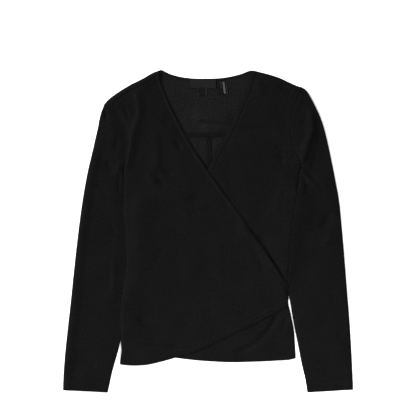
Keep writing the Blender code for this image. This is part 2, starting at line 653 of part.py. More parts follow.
def across(start, end):
    """Points of one sleeve row, on a straight line from fold to fold."""
    width = np.linalg.norm(end - start)
    return start + spread(width, SLEEVE_COLUMNS)[:, None] / width * (end - start)


def make_band(name, seam, edge, lift, material, faces_up=True):
    """Binding between its seam on the panel, a list of points, and its free edge."""
    share = lengths(seam) / lengths(seam)[-1]
    free = at(edge, share * lengths(edge)[-1])
    plan = np.stack([seam, (seam + free) / 2, free], axis=1)
    grid = part_seams(lift(plan), ("left",), gap=BAND_SEAM)
    make_cloth(name, [(grid, faces_up)], material, wall=BAND_WALL)


def make_bands(seams, material):
    # the bindings stop short of the rounded folds of the sides and the back neck
    over = np.concatenate([flap_steps(FLAP_RIGHT_NECK),
                           wrap_steps(seams["wrap_over"], FLAP_RIGHT_NECK)[1:-3]])
    under = np.concatenate([flap_steps(FLAP_LEFT),
                            wrap_steps(seams["wrap_under"], FLAP_LEFT)[1:-4]])
    neck = seams["neck_back"]
    edge = longer(CURVES["wrap_over"], RUN_ON)
    edge_over = cut(edge, RUN_ON, crossing(edge, CURVES["side_left"]) - ROLL_STEPS[2])
    edge = longer(CURVES["wrap_under"], RUN_ON)
    edge_under = cut(edge, RUN_ON, crossing(edge, SIDE_RIGHT_IN) - ROLL)
    make_band("band_over", at(seams["wrap_over"], over), edge_over,
              lambda plan: lift_top(plan, False, BAND_LIP, BAND_PROUD), material)
    make_band("band_under", at(seams["wrap_under"], under), edge_under,
              lambda plan: lift_top(plan, True, BAND_LIP, BAND_PROUD), material)
    edge = CURVES["neck_back"]
    make_band("band_back", at(neck, spread(lengths(neck)[-1], NECK_POINTS)[3:-3]),
              cut(edge, ROLL_STEPS[2], lengths(edge)[-1] - ROLL_STEPS[2]),
              lambda plan: lift_bottom(plan, BAND_LIP), material, faces_up=False)


def make_labels(material):
    left, right, top, bottom = NECK_LABEL
    rows = [[(x, top + share * (bottom - top), low + LABEL_WALL) for x in (left, right)]
            for share, low in zip(NECK_LABEL_ROWS, NECK_LABEL_HEIGHTS)]
    make_cloth("neck_label", [(np.array(rows, float), True)], material, wall=LABEL_WALL)
    for name, (left, right, top, bottom, low) in LABELS.items():
        make_box(name, left, right, top, bottom, low, LABEL_WALL, material)


def main():
    clear_scene()
    collection = bpy.data.collections.new("wrap_top")
    bpy.context.scene.collection.children.link(collection)
    crepe = make_material("black_crepe", BLACK_CREPE, 0.85)
    binding = make_material("black_binding", BLACK_BINDING, 0.8)
    satin = make_material("black_satin", BLACK_SATIN, 0.5)
    seams = make_seams()
    make_yoke(seams, crepe)
    make_back("right", seams, crepe)
    make_back("left", seams, crepe)
    make_front_under(seams, crepe)
    make_front_over(seams, crepe)
    make_sleeve("right", seams, crepe)
    make_sleeve("left", seams, crepe)
    make_bands(seams, binding)
    make_labels(satin)


main()
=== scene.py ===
import bpy
import bmesh
import numpy as np
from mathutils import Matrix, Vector
from mathutils.kdtree import KDTree


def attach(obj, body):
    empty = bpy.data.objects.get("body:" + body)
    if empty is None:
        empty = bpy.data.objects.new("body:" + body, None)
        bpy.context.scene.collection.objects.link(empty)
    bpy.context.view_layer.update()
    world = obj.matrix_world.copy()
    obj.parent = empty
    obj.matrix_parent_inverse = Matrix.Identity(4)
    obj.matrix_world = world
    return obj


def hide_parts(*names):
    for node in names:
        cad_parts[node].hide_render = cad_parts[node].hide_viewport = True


# Black wrap top laid flat on its back, seen from straight above.
# Right and left are the wearer's, so the right side lies at -X. Sizes are in millimetres.
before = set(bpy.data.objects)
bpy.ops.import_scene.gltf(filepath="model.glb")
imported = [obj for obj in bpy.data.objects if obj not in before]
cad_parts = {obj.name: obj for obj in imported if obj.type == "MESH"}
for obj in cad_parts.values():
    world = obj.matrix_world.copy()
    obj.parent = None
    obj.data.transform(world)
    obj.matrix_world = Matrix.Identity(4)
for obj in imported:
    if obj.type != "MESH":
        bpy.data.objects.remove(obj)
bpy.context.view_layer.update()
scene = bpy.context.scene
mm = 0.001
print("frame loaded:", len(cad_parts), "solids")

# the photograph: 416 pixels of 2.1 mm, taken from straight above
photo = {"pixels": 416, "pixelSize": 2.1, "middle": (0.0, 48.5), "height": 3000.0, "sensor": 36.0}


def deselectAll():
    bpy.ops.object.select_all(action="DESELECT")


def makeCamera():
    x, y = photo["middle"]
    bpy.ops.object.camera_add(location=(x * mm, y * mm, photo["height"] * mm), rotation=(0, 0, 0))
    camera = bpy.context.object
    camera.name = "aboveCamera"
    camera.data.sensor_width = photo["sensor"]
    camera.data.lens = photo["sensor"] * photo["height"] / (photo["pixels"] * photo["pixelSize"])
    scene.camera = camera


# colours as sRGB hex, turned to linear here and nowhere else
def colour(hexCode):
    channels = [int(hexCode[k:k + 2], 16) / 255 for k in (1, 3, 5)]
    linear = [c / 12.92 if c <= 0.04045 else ((c + 0.055) / 1.055) ** 2.4 for c in channels]
    return (*linear, 1.0)


def addNode(tree, kind, settings=None, links=None):
    # settings go to the node's own fields or, where it has none, to its inputs
    node = tree.nodes.new(kind)
    for name, value in (settings or {}).items():
        if isinstance(name, str) and hasattr(node, name):
            setattr(node, name, value)
        else:
            node.inputs[name].default_value = value
    for name, source in (links or {}).items():
        tree.links.new(source, node.inputs[name])
    return node


def newMaterial(name, settings):
    material = bpy.data.materials.new(name)
    material.use_nodes = True
    tree = material.node_tree
    shader = tree.nodes["Principled BSDF"]
    for socket, value in settings.items():
        shader.inputs[socket].default_value = value
    return material, tree, shader


# "contrast" stands for the camera's tone curve, which sinks the blacks as in the photograph
light = {
    "world": 0.72, "contrast": 0.82,
    "key": {"place": (-4650, 2900, 2300), "size": 2.0, "power": 960.0},
    "fill": {"place": (150, -620, 700), "size": 0.6, "power": 9.5},
}
floorLook = {"side": 5000, "below": 0.6, "paper": "#fbfbfa", "shade": "#f3f3f1", "grain": 40.0,
             "roughness": 0.95, "specular": 0.1}


def makeFloor():
    bpy.ops.mesh.primitive_plane_add(size=floorLook["side"] * mm,
                                     location=(0, 0, -floorLook["below"] * mm))
    floor = bpy.context.object
    floor.name = "paperFloor"
    bpy.ops.object.transform_apply(location=True, rotation=False, scale=True)
    # white studio paper: matt, with hardly any grain
    material, tree, shader = newMaterial("whitePaper", {
        "Roughness": floorLook["roughness"], "Specular IOR Level": floorLook["specular"]})
    place = addNode(tree, "ShaderNodeTexCoord")
    noise = addNode(tree, "ShaderNodeTexNoise", {"Scale": floorLook["grain"], "Detail": 3.0},
                    {"Vector": place.outputs["Object"]})
    mix = addNode(tree, "ShaderNodeMixRGB", {"Color1": colour(floorLook["paper"]),
                                             "Color2": colour(floorLook["shade"])},
                  {"Fac": noise.outputs["Fac"]})
    tree.links.new(mix.outputs["Color"], shader.inputs["Base Color"])
    floor.data.materials.append(material)


def makeLights():
    world = bpy.data.worlds.new("studio")
    scene.world = world
    world.use_nodes = True
    world.node_tree.nodes["Background"].inputs["Color"].default_value = (1, 1, 1, 1)
    world.node_tree.nodes["Background"].inputs["Strength"].default_value = light["world"]
    for name in ("key", "fill"):
        lamp = light[name]
        place = Vector(lamp["place"]) * mm
        turn = (-place).to_track_quat("-Z", "Y").to_euler()
        bpy.ops.object.light_add(type="AREA", location=place, rotation=turn)
        bpy.context.object.name = name + "Light"
        bpy.context.object.data.size = lamp["size"]
        bpy.context.object.data.energy = lamp["power"]
    scene.view_settings.view_transform = "Standard"
    scene.view_settings.gamma = light["contrast"]


makeCamera()
makeFloor()
makeLights()
print("camera, floor and lights made")

# crepe: a springy polyester cloth of hard-twisted yarn, matt and very finely pebbled.
# Its grain is about 0.4 mm, drawn at 2.8 mm, as coarse as shows at 2 mm a pixel.
crepe = {
    "dark": "#080808", "light": "#171718", "grain": 2.8, "spread": (0.28, 0.72),
    "yarn": 1.1, "cloud": 45.0, "roughness": (0.85, 0.98), "specular": 0.05,
    "sheen": 0.07, "bump": 0.5, "relief": 0.2,
}
# the cloth's wrong side: floats of brighter filament catch the light as specks, so that it
# looks lighter; its grain is drawn as coarse as the right side's
crepeInside = {
    "dark": "#070707", "light": "#1e1e20", "grain": 2.8, "spread": (0.30, 0.72),
    "yarn": 1.2, "cloud": 60.0, "roughness": (0.75, 0.95), "specular": 0.08,
    "sheen": 0.03, "bump": 0.7, "relief": 0.3,
}
# the same crepe, pressed flat along the fold, so that less of its grain shows
binding = dict(crepe, dark="#101011", light="#151516", grain=1.5)
# woven satin ribbon: long floats lie side by side, so it is smooth with a low gloss
satin = {
    "dark": "#101012", "light": "#141416", "grain": 1.0, "spread": (0.32, 0.68),
    "yarn": 0.6, "cloud": 14.0, "roughness": (0.42, 0.55), "specular": 0.2,
    "sheen": 0.02, "bump": 0.2, "relief": 0.05,
}
# the label leaves' ribbon is coated on its face, which dulls it
leafRibbon = dict(satin, dark="#0a0a0b", light="#0e0e0f", specular=0.12)
# spun polyester sewing thread: two twisted plies, with a soft shine along each stitch
thread = {
    "dark": "#121213", "light": "#19191a", "grain": 0.8, "spread": (0.32, 0.68),
    "yarn": 0.4, "cloud": 20.0, "roughness": (0.55, 0.7), "specular": 0.25,
    "sheen": 0.0, "bump": 0.2, "relief": 0.05,
}
# painted highlights: a ribbon's heat-cut edge and a fold catch more light than its face, so these
# strips get a paler colour that stands for that light
cutEdgeHighlight = dict(satin, dark="#1c1c1e", light="#28282a", grain=1.6)
foldHighlight = dict(satin, dark="#3a3a3c", light="#4c4c4e", grain=1.6)
# the loose thread ends are undyed, so greyer
paleThread = dict(thread, dark="#1e1e20", light="#28282a")

# how grain, yarns and slow clouds are mixed; "bands" is a wave's width at a scale of 1
clothMix = {"sheenRoughness": 0.3, "ior": 1.5, "bands": 0.314, "waver": 1.5, "cloud": 0.35,
            "cloudShift": -0.17, "yarnHeight": 0.4}


def makeCloth(name, look):
    # grain, yarns and clouds follow the cloth through its own map, which is in metres
    material, tree, shader = newMaterial(name, {
        "Specular IOR Level": look["specular"], "Sheen Weight": look["sheen"],
        "Sheen Roughness": clothMix["sheenRoughness"], "Metallic": 0.0, "IOR": clothMix["ior"]})
    cloth = addNode(tree, "ShaderNodeUVMap", {"uv_map": "cloth"})
    grain = addNode(tree, "ShaderNodeTexNoise", {
        "Scale": 1 / (look["grain"] * mm), "Detail": 2.0, "Roughness": 0.5},
        {"Vector": cloth.outputs["UV"]})
    cloud = addNode(tree, "ShaderNodeTexNoise", {
        "Scale": 1 / (look["cloud"] * mm), "Detail": 2.0}, {"Vector": cloth.outputs["UV"]})
    yarns = []
    for direction in ("X", "Y"):
        yarns.append(addNode(tree, "ShaderNodeTexWave", {
            "bands_direction": direction, "Scale": clothMix["bands"] / (look["yarn"] * mm),
            "Distortion": clothMix["waver"], "Detail": 1.0, "Detail Scale": 2.0},
            {"Vector": cloth.outputs["UV"]}))
    weave = addNode(tree, "ShaderNodeMath", {"operation": "MULTIPLY"},
                    {0: yarns[0].outputs["Fac"], 1: yarns[1].outputs["Fac"]})
    thin, full = look["spread"]
    spread = addNode(tree, "ShaderNodeMapRange", {"From Min": thin, "From Max": full},
                     {"Value": grain.outputs["Fac"]})
    clouded = addNode(tree, "ShaderNodeMath", {
        "operation": "MULTIPLY_ADD", 1: clothMix["cloud"], 2: clothMix["cloudShift"]},
        {0: cloud.outputs["Fac"]})
    tone = addNode(tree, "ShaderNodeMath", {"operation": "ADD", "use_clamp": True},
                   {0: spread.outputs["Result"], 1: clouded.outputs["Value"]})
    mix = addNode(tree, "ShaderNodeMixRGB", {"Color1": colour(look["dark"]),
                                             "Color2": colour(look["light"])},
                  {"Fac": tone.outputs["Value"]})
    tree.links.new(mix.outputs["Color"], shader.inputs["Base Color"])
    low, high = look["roughness"]
    rough = addNode(tree, "ShaderNodeMapRange", {"To Min": high, "To Max": low},
                    {"Value": grain.outputs["Fac"]})
    tree.links.new(rough.outputs["Result"], shader.inputs["Roughness"])
    height = addNode(tree, "ShaderNodeMath", {
        "operation": "MULTIPLY_ADD", 1: clothMix["yarnHeight"]},
        {0: weave.outputs["Value"], 2: grain.outputs["Fac"]})
    bump = addNode(tree, "ShaderNodeBump", {
        "Strength": look["bump"], "Distance": look["relief"] * mm},
        {"Height": height.outputs["Value"]})
    tree.links.new(bump.outputs["Normal"], shader.inputs["Normal"])
    return material


materials = {
    "crepe": makeCloth("polyesterCrepe", crepe),
    "crepeInside": makeCloth("polyesterCrepeWrongSide", crepeInside),
    "binding": makeCloth("crepeBinding", binding),
    "satin": makeCloth("wovenSatinRibbon", satin),
    "thread": makeCloth("spunPolyesterThread", thread),
    "label": makeCloth("coatedSatinRibbon", leafRibbon),
    # the labels' pale edge strips are painted highlights
    "cutEdgeHighlight": makeCloth("satinCutEdgePaintedHighlight", cutEdgeHighlight),
    "foldHighlight": makeCloth("satinFoldPaintedHighlight", foldHighlight),
    "paleThread": makeCloth("undyedThreadEnd", paleThread),
}
print("materials made:", len(materials))

# outlines on the table, the same lines that the solids follow; each side fold lies against
# the sleeve's inner fold, as far as the first point of its own row
lines = {
    "shoulderRight": [(-103, 337), (-115.5, 332), (-137.5, 319.5), (-162.5, 307),
                      (-184, 294), (-202, 281.5), (-215, 269)],
    "sleeveOuterRight": [(-215, 269), (-222, 254.5), (-232, 212.5), (-241.5, 170.5),
                         (-251.5, 128.5), (-259.5, 86.5), (-266, 44.5), (-274, -18.5),
                         (-281, -81.5), (-287.5, -144.5), (-294.5, -207.5), (-300, -260),
                         (-303, -302), (-304.3, -333.5)],
    "sleeveInnerRight": [(-176.5, 128.5), (-177, 97), (-176.3, 65.5), (-173.2, 27.5),
                         (-169.8, -18.5), (-169, -56.5), (-171.3, -92), (-177, -123.5),
                         (-181.3, -155), (-182.8, -197), (-183.3, -229), (-186, -241.5),
                         (-191.1, -260), (-200.1, -291.5), (-207.1, -323), (-210.6, -338.3)],
    "sideRight": [(-183.3, -229), (-181.6, -247), (-182, -257), (-183.6, -266),
                  (-184.8, -280)],
    "shoulderLeft": [(94.5, 337), (109, 333.5), (130, 328), (151, 321),
                     (172, 311), (187, 304.5), (198, 301)],
    "sleeveOuterLeft": [(198, 301), (206.5, 294), (214.5, 281.5), (224.5, 262.5),
                        (237.5, 233.5), (249.5, 191.5), (258.5, 149.5), (267, 107.5),
                        (274.5, 65.5), (281, 2.5), (286.5, -60.5), (291.5, -123.5),
                        (296.5, -186.5), (300.5, -249.5), (303, -302), (304.3, -332.5)],
    "sleeveInnerLeft": [(196.5, 138), (193.2, 124), (190, 103), (185.2, 71.5),
                        (180.2, 36), (175.3, -2), (171.7, -31.5), (169.6, -65),
                        (168.4, -102.5), (169.2, -134), (172.2, -148), (174, -158.5),
                        (180.5, -197), (189.1, -239), (197.1, -281), (204.4, -312.5),
                        (208.5, -338.3)],
    "sideLeft": [(169.2, -134), (169.2, -141), (168.3, -148), (169, -155), (172, -167.5),
                 (174.7, -180), (179.5, -203.5), (182.5, -239), (184, -266.5)],
    "armholeFrontRight": [(-215, 269), (-200.5, 260), (-189, 252), (-178.5, 238.5),
                          (-170, 220.5), (-166.5, 195.5), (-168, 170.5), (-172, 147),
                          (-176.5, 128.5)],
    "armholeBackRight": [(-215, 269), (-201.5, 250), (-190, 225), (-185, 197.5),
                         (-181.5, 170.5), (-179, 149.5), (-176.5, 128.5)],
    "armholeFrontLeft": [(198, 301), (191.5, 285), (182.5, 265), (176.5, 247.5), (173.5, 223),
                         (174.5, 197.5), (181.5, 172.5), (190, 154.5), (196.5, 138)],
    "armholeBackLeft": [(198, 301), (192, 281.5), (188, 254.5), (186, 227),
                        (187, 197.5), (189.5, 170.5), (196.5, 138)],
    "wrapOver": [(-103, 337), (-103, 330), (-101, 317.5), (-91.5, 290.5), (-70, 243.5),
                 (-47.5, 201), (-25, 163), (-3, 129.5), (14, 105), (30, 83), (66.5, 33.5),
                 (100.5, -12.5), (116.5, -34.5), (132, -59), (149, -86), (167, -111)],
    "wrapUnder": [(94.5, 337), (93, 332), (86.5, 311), (76.5, 285.5), (64.5, 260), (52, 230.5),
                  (35, 196.5), (18.5, 165.5), (0, 132.5), (-38, 69.5), (-90.5, -14.5),
                  (-136.5, -84), (-168, -124)],
    "neckBack": [(-103, 337), (-97.5, 338.3), (-92.5, 336), (-80, 330), (-67, 326),
                 (-42, 321.5), (-4, 320), (33.5, 322), (59, 327), (71.5, 330.5),
                 (84, 335.5), (89, 337), (94.5, 337)],
    "hemOver": [(-184, -280), (-155.5, -282), (-126, -280), (-101, -274.5), (-75.5, -267.5),
                (-53, -261), (-4, -242), (37.5, -222), (89.5, -197.5), (131, -175.5),
                (171, -154)],
    "hemUnder": [(-180.5, -254), (-122, -259), (-73.5, -265), (-42, -269), (-4, -272.5),
                 (46, -275), (96.5, -274), (140.5, -272), (172, -269.5), (184, -266.5)],
    "hemBackRight": [(-183.8, -275), (-101, -264.5), (6.5, -260)],
    "hemBackLeft": [(6.5, -260), (109, -261), (183.7, -263.5)],
    "cuffRight": [(-304.3, -333.5), (-210.6, -338.3)],
    "cuffLeft": [(304.3, -332.5), (208.5, -338.3)],
}
neckSeamPoints = [(-91.5, 330), (-78, 324.5), (-66, 321), (-41.5, 316.5), (-4, 315),
                  (34, 317), (60, 322), (73.5, 325.5), (86, 330.5)]
shoulderSeamPoints = [(-195, 268.5), (-185, 278), (-169, 290), (-143, 303.5), (-126, 311.5)]

seamPlan = {
    "yokeY": 197.5, "centreX": 6.5, "crossing": (0.0, 132.0),  # where the wrap edges cross
    "band": 7.0, "underBandMore": 2.5, "underBandReach": 50.0,  # the bindings' width
    "flapRightArm": 18.0, "flapRightNeck": 10.4, "flapLeft": 3.0,  # the yoke laps over this far
    "gap": 0.05, "reach": 8.0, "neckEase": 2.6,  # half a seam's clear width, and how it fades
    "runOn": 34.0, "runOnShort": 5.0, "runOnLong": 60.0,  # how far lines go past their ends
    "flapClear": 15.0, "beyond": 400.0,
}


def smoothLine(points, step=1.0):
    p = np.array(points, float)
    t = np.concatenate(([0.0], np.cumsum(np.linalg.norm(np.diff(p, axis=0), axis=1))))
    tangent = np.gradient(p, t, axis=0)
    s = np.linspace(0.0, t[-1], int(t[-1] / step) + 2)
    k = np.clip(np.searchsorted(t, s, side="right") - 1, 0, len(t) - 2)
    h = (t[k + 1] - t[k])[:, None]
    u = (s - t[k])[:, None] / h
    return ((2 * u**3 - 3 * u**2 + 1) * p[k] + (u**3 - 2 * u**2 + u) * h * tangent[k]
            + (3 * u**2 - 2 * u**3) * p[k + 1] + (u**3 - u**2) * h * tangent[k + 1])


def lengths(line):
    return np.concatenate(([0.0], np.cumsum(np.linalg.norm(np.diff(line, axis=0), axis=1))))


def pointsAt(line, distances):
    s = lengths(line)
    return np.stack([np.interp(distances, s, line[:, k]) for k in range(line.shape[1])], axis=-1)


def cutLine(line, start, end):
    s = lengths(line)
    inside = line[(s > start + 1e-6) & (s < end - 1e-6)]
    return np.vstack([pointsAt(line, start), inside, pointsAt(line, end)])


def joinLines(*parts):
    return np.vstack([parts[0]] + [part[1:] for part in parts[1:]])


def leftSides(line):
    along = np.gradient(line, axis=0)
    along /= np.linalg.norm(along, axis=1)[:, None]
    return np.stack([-along[:, 1], along[:, 0]], axis=1)


def runOn(line, extra):
    first, last = line[0] - line[1], line[-1] - line[-2]
    steps = np.arange(1.0, extra + 0.5)[:, None]
    before = line[0] + steps[::-1] * first / np.linalg.norm(first)
    after = line[-1] + steps * last / np.linalg.norm(last)
    return np.vstack([before, line, after])


def treeOf(lineList):
    # every line's points in one tree, each with its line's number and place in it
    points = [(k, i) for k, line in enumerate(lineList) for i in range(len(line))]
    tree = KDTree(len(points))
    for n, (k, i) in enumerate(points):
        tree.insert((*lineList[k][i], 0.0), n)
    tree.balance()
    return tree, lineList, np.array(points)


def segmentDistance(starts, ends, points):
    along = ends - starts
    share = np.sum((points - starts) * along, axis=1)
    share = share / np.maximum(np.sum(along * along, axis=1), 1e-12)
    away = points - (starts + np.clip(share, 0.0, 1.0)[:, None] * along)
    side = along[:, 0] * away[:, 1] - along[:, 1] * away[:, 0]
    return np.linalg.norm(away, axis=1), np.where(side >= 0, 1.0, -1.0)


def sideDistance(found, x, y):
    # distance to the nearest of the lines, positive on that line's left
    tree, lineList, numbers = found
    points = np.stack([np.ravel(x), np.ravel(y)], axis=1)
    nearest = numbers[[tree.find((a, b, 0.0))[1] for a, b in points]]
    best = np.full(len(points), 1e9)
    sign = np.ones(len(points))
    for k, line in enumerate(lineList):
        mine = np.flatnonzero(nearest[:, 0] == k)
        for offset in (-1, 0):
            i = np.clip(nearest[mine, 1] + offset, 0, len(line) - 2)
            distance, side = segmentDistance(line[i], line[i + 1], points[mine])
            nearer = distance < best[mine]
            best[mine[nearer]], sign[mine[nearer]] = distance[nearer], side[nearer]
    return (sign * best).reshape(np.shape(x))


def crossingOf(line, other):
    side = sideDistance(treeOf([other]), line[:, 0], line[:, 1])
    k = np.flatnonzero(np.diff(np.sign(side)))[0]
    s = lengths(line)
    return s[k] + (s[k + 1] - s[k]) * side[k] / (side[k] - side[k + 1])


def trimLine(line, start, end):
    line = runOn(line, seamPlan["runOn"])
    return cutLine(line, crossingOf(line, start), crossingOf(line, end))


def smoothStep(value):
    value = np.clip(value, 0.0, 1.0)
    return value * value * (3 - 2 * value)


curves = {name: smoothLine(points) for name, points in lines.items()}
for hand in ("Right", "Left"):
    # the shoulder and the sleeve's outer fold are one smooth line
    whole = smoothLine(lines["shoulder" + hand] + lines["sleeveOuter" + hand][1:])
    tip = np.argmin(np.linalg.norm(whole - np.array(lines["sleeveOuter" + hand][0]), axis=1))
    whole[tip] = lines["sleeveOuter" + hand][0]
    curves["shoulder" + hand], curves["sleeveOuter" + hand] = whole[:tip + 1], whole[tip:]
    inner, own = curves["sleeveInner" + hand], curves["side" + hand]
    parting = np.argmin(np.linalg.norm(inner - own[0], axis=1))
    curves["side" + hand] = joinLines(inner[:parting + 1], own)

# how the cloth lies: heights over the table
lay = {
    "cloth": 0.95, "layerGap": 0.15, "top": 5.8, "edge": 2.9, "lip": 0.05,
    "roll": 10.0, "power": 2.3, "rollShare": 0.4, "rollClear": 0.3,  # the rounded folds
    "rollSteps": (0.05, 0.25, 0.6, 1.1, 1.8, 2.7, 4.0, 6.0, 8.0),
    # the under front lies lower, smoother and drawn in where the over front covers it
    "tuck": 2.2, "drop": 1.6, "coverMargin": 4.0, "coverFade": 30.0,
    "smoothMargin": 1.5, "smoothFade": 11.0, "tuckFade": 14.0,
    "neckFall": 2.7, "neckReach": 38.0, "crossingClear": (15.0, 60.0),  # down to the neck
    # where the under front lies deeper or higher beside the wrap edge: place, depth, reach
    "dips": [(111.3, -12.1, 0.5, 11.0), (118.4, -21.8, 0.8, 11.0), (125.5, -31.9, 0.95, 11.0),
             (132.7, -42.9, 0.95, 11.0), (139.2, -53.6, 0.8, 11.0), (145.7, -63.9, 0.4, 11.0),
             (161.0, -94.0, -0.7, 20.0)],
    "hemOverFall": 0.5, "hemUnderFall": 1.9, "cuffFall": 1.5, "hemReach": 30.0,
    "foldClear": 25.0, "onFold": 0.02,
}
# where a sleeve presses against the body, their folds meet higher up and are tighter
# each row: side, from and to which height up the body, and how much higher
slits = {"rows": [(-1.0, 60.0, -215.0, 1.7), (1.0, 100.0, -134.0, 2.2), (1.0, 100.0, -86.0, 2.6)],
         "fade": 22.0, "reach": 222.0, "tighter": 0.65}
wrapTree = treeOf([runOn(curves["wrapOver"], seamPlan["runOnLong"])])
hemTree = treeOf([runOn(curves["hemOver"], seamPlan["runOnLong"])])


def dropUnder(x, y):
    more = [depth * np.exp(-((x - atX) ** 2 + (y - atY) ** 2) / reach**2)
            for atX, atY, depth, reach in lay["dips"]]
    return lay["drop"] + sum(more)


def coverShare(x, y, margin=None, fade=None):
    outside = np.maximum(sideDistance(wrapTree, x, y), -sideDistance(hemTree, x, y))
    outside = outside - (margin or lay["coverMargin"])
    return 1.0 - smoothStep(outside / (fade or lay["coverFade"]))


def tuckedIn(name, inward):
    line = curves[name]
    shift = lay["tuck"] * coverShare(line[:, 0], line[:, 1], fade=lay["tuckFade"])[:, None]
    return line + inward * leftSides(line) * shift


curves["sideRightIn"] = tuckedIn("sideRight", 1.0)
curves["sideLeftIn"] = tuckedIn("sideLeft", -1.0)
foldNames = ["shoulderRight", "shoulderLeft", "sleeveOuterRight", "sleeveOuterLeft",
             "sleeveInnerRight", "sleeveInnerLeft"]
foldTree = treeOf([curves[name] for name in foldNames + ["sideRight", "sideLeft"]])
foldTreeUnder = treeOf([curves[name] for name in foldNames + ["sideRightIn", "sideLeftIn"]])


def foldDistance(x, y, under=False):
    away = np.abs(sideDistance(foldTreeUnder if under else foldTree, x, y))
    return np.maximum(0.0, away - lay["onFold"])


def slitShare(x, y):
    # how far a place belongs to a slit, and how much higher its fold's edge lies there
    share, rise = np.zeros(np.shape(x)), np.zeros(np.shape(x))
    for side, top, bottom, more in slits["rows"]:
        part = smoothStep((top - y) / slits["fade"]) * smoothStep((y - bottom) / slits["fade"])
        part = part * (side * x > 0) * (np.abs(x) < slits["reach"])
        share, rise = np.maximum(share, part), rise + more * part
    return share, rise


def roundness(distance, reach):
    q = np.clip(distance / reach, 0.0, 1.0)
    return (1.0 - (1.0 - q) ** lay["power"]) ** (1.0 / lay["power"])


def makeSeamLines():
    c, band = curves, seamPlan["band"]
    more = seamPlan["underBandMore"] * smoothStep(
        lengths(c["wrapUnder"]) / seamPlan["underBandReach"])
    seams = {
        "wrapOver": trimLine(c["wrapOver"] - band * leftSides(c["wrapOver"]),
                             c["shoulderRight"], c["sideLeft"]),
        "wrapUnder": trimLine(c["wrapUnder"] + (band + more)[:, None] * leftSides(c["wrapUnder"]),
                              c["shoulderLeft"], c["sideRightIn"]),
    }
    neckRight, neckLeft = seams["wrapOver"][0], seams["wrapUnder"][0]
    seams["neckBack"] = smoothLine([neckRight, *neckSeamPoints, neckLeft])
    for hand, neck in (("Right", neckRight), ("Left", neckLeft)):
        fold = c["shoulder" + hand]
        start = crossingOf(fold, seams["wrapOver" if hand == "Right" else "wrapUnder"])
        seams["fold" + hand] = cutLine(fold, start, lengths(fold)[-1])
        seams["fold" + hand][0] = neck
    seams["shoulderRight"] = smoothLine([
        pointsAt(c["armholeFrontRight"], seamPlan["flapRightArm"]), *shoulderSeamPoints,
        pointsAt(seams["wrapOver"], seamPlan["flapRightNeck"])])
    fold, flap = seams["foldLeft"], seamPlan["flapLeft"]
    clear = seamPlan["flapClear"]
    beside = pointsAt(fold - flap * leftSides(fold),
                      np.linspace(clear, lengths(fold)[-1] - clear, 5))
    seams["shoulderLeft"] = smoothLine([
        pointsAt(seams["wrapUnder"], flap), *beside, pointsAt(c["armholeFrontLeft"], flap)])
    return seams


seams = makeSeamLines()
print("outlines and seams worked out")
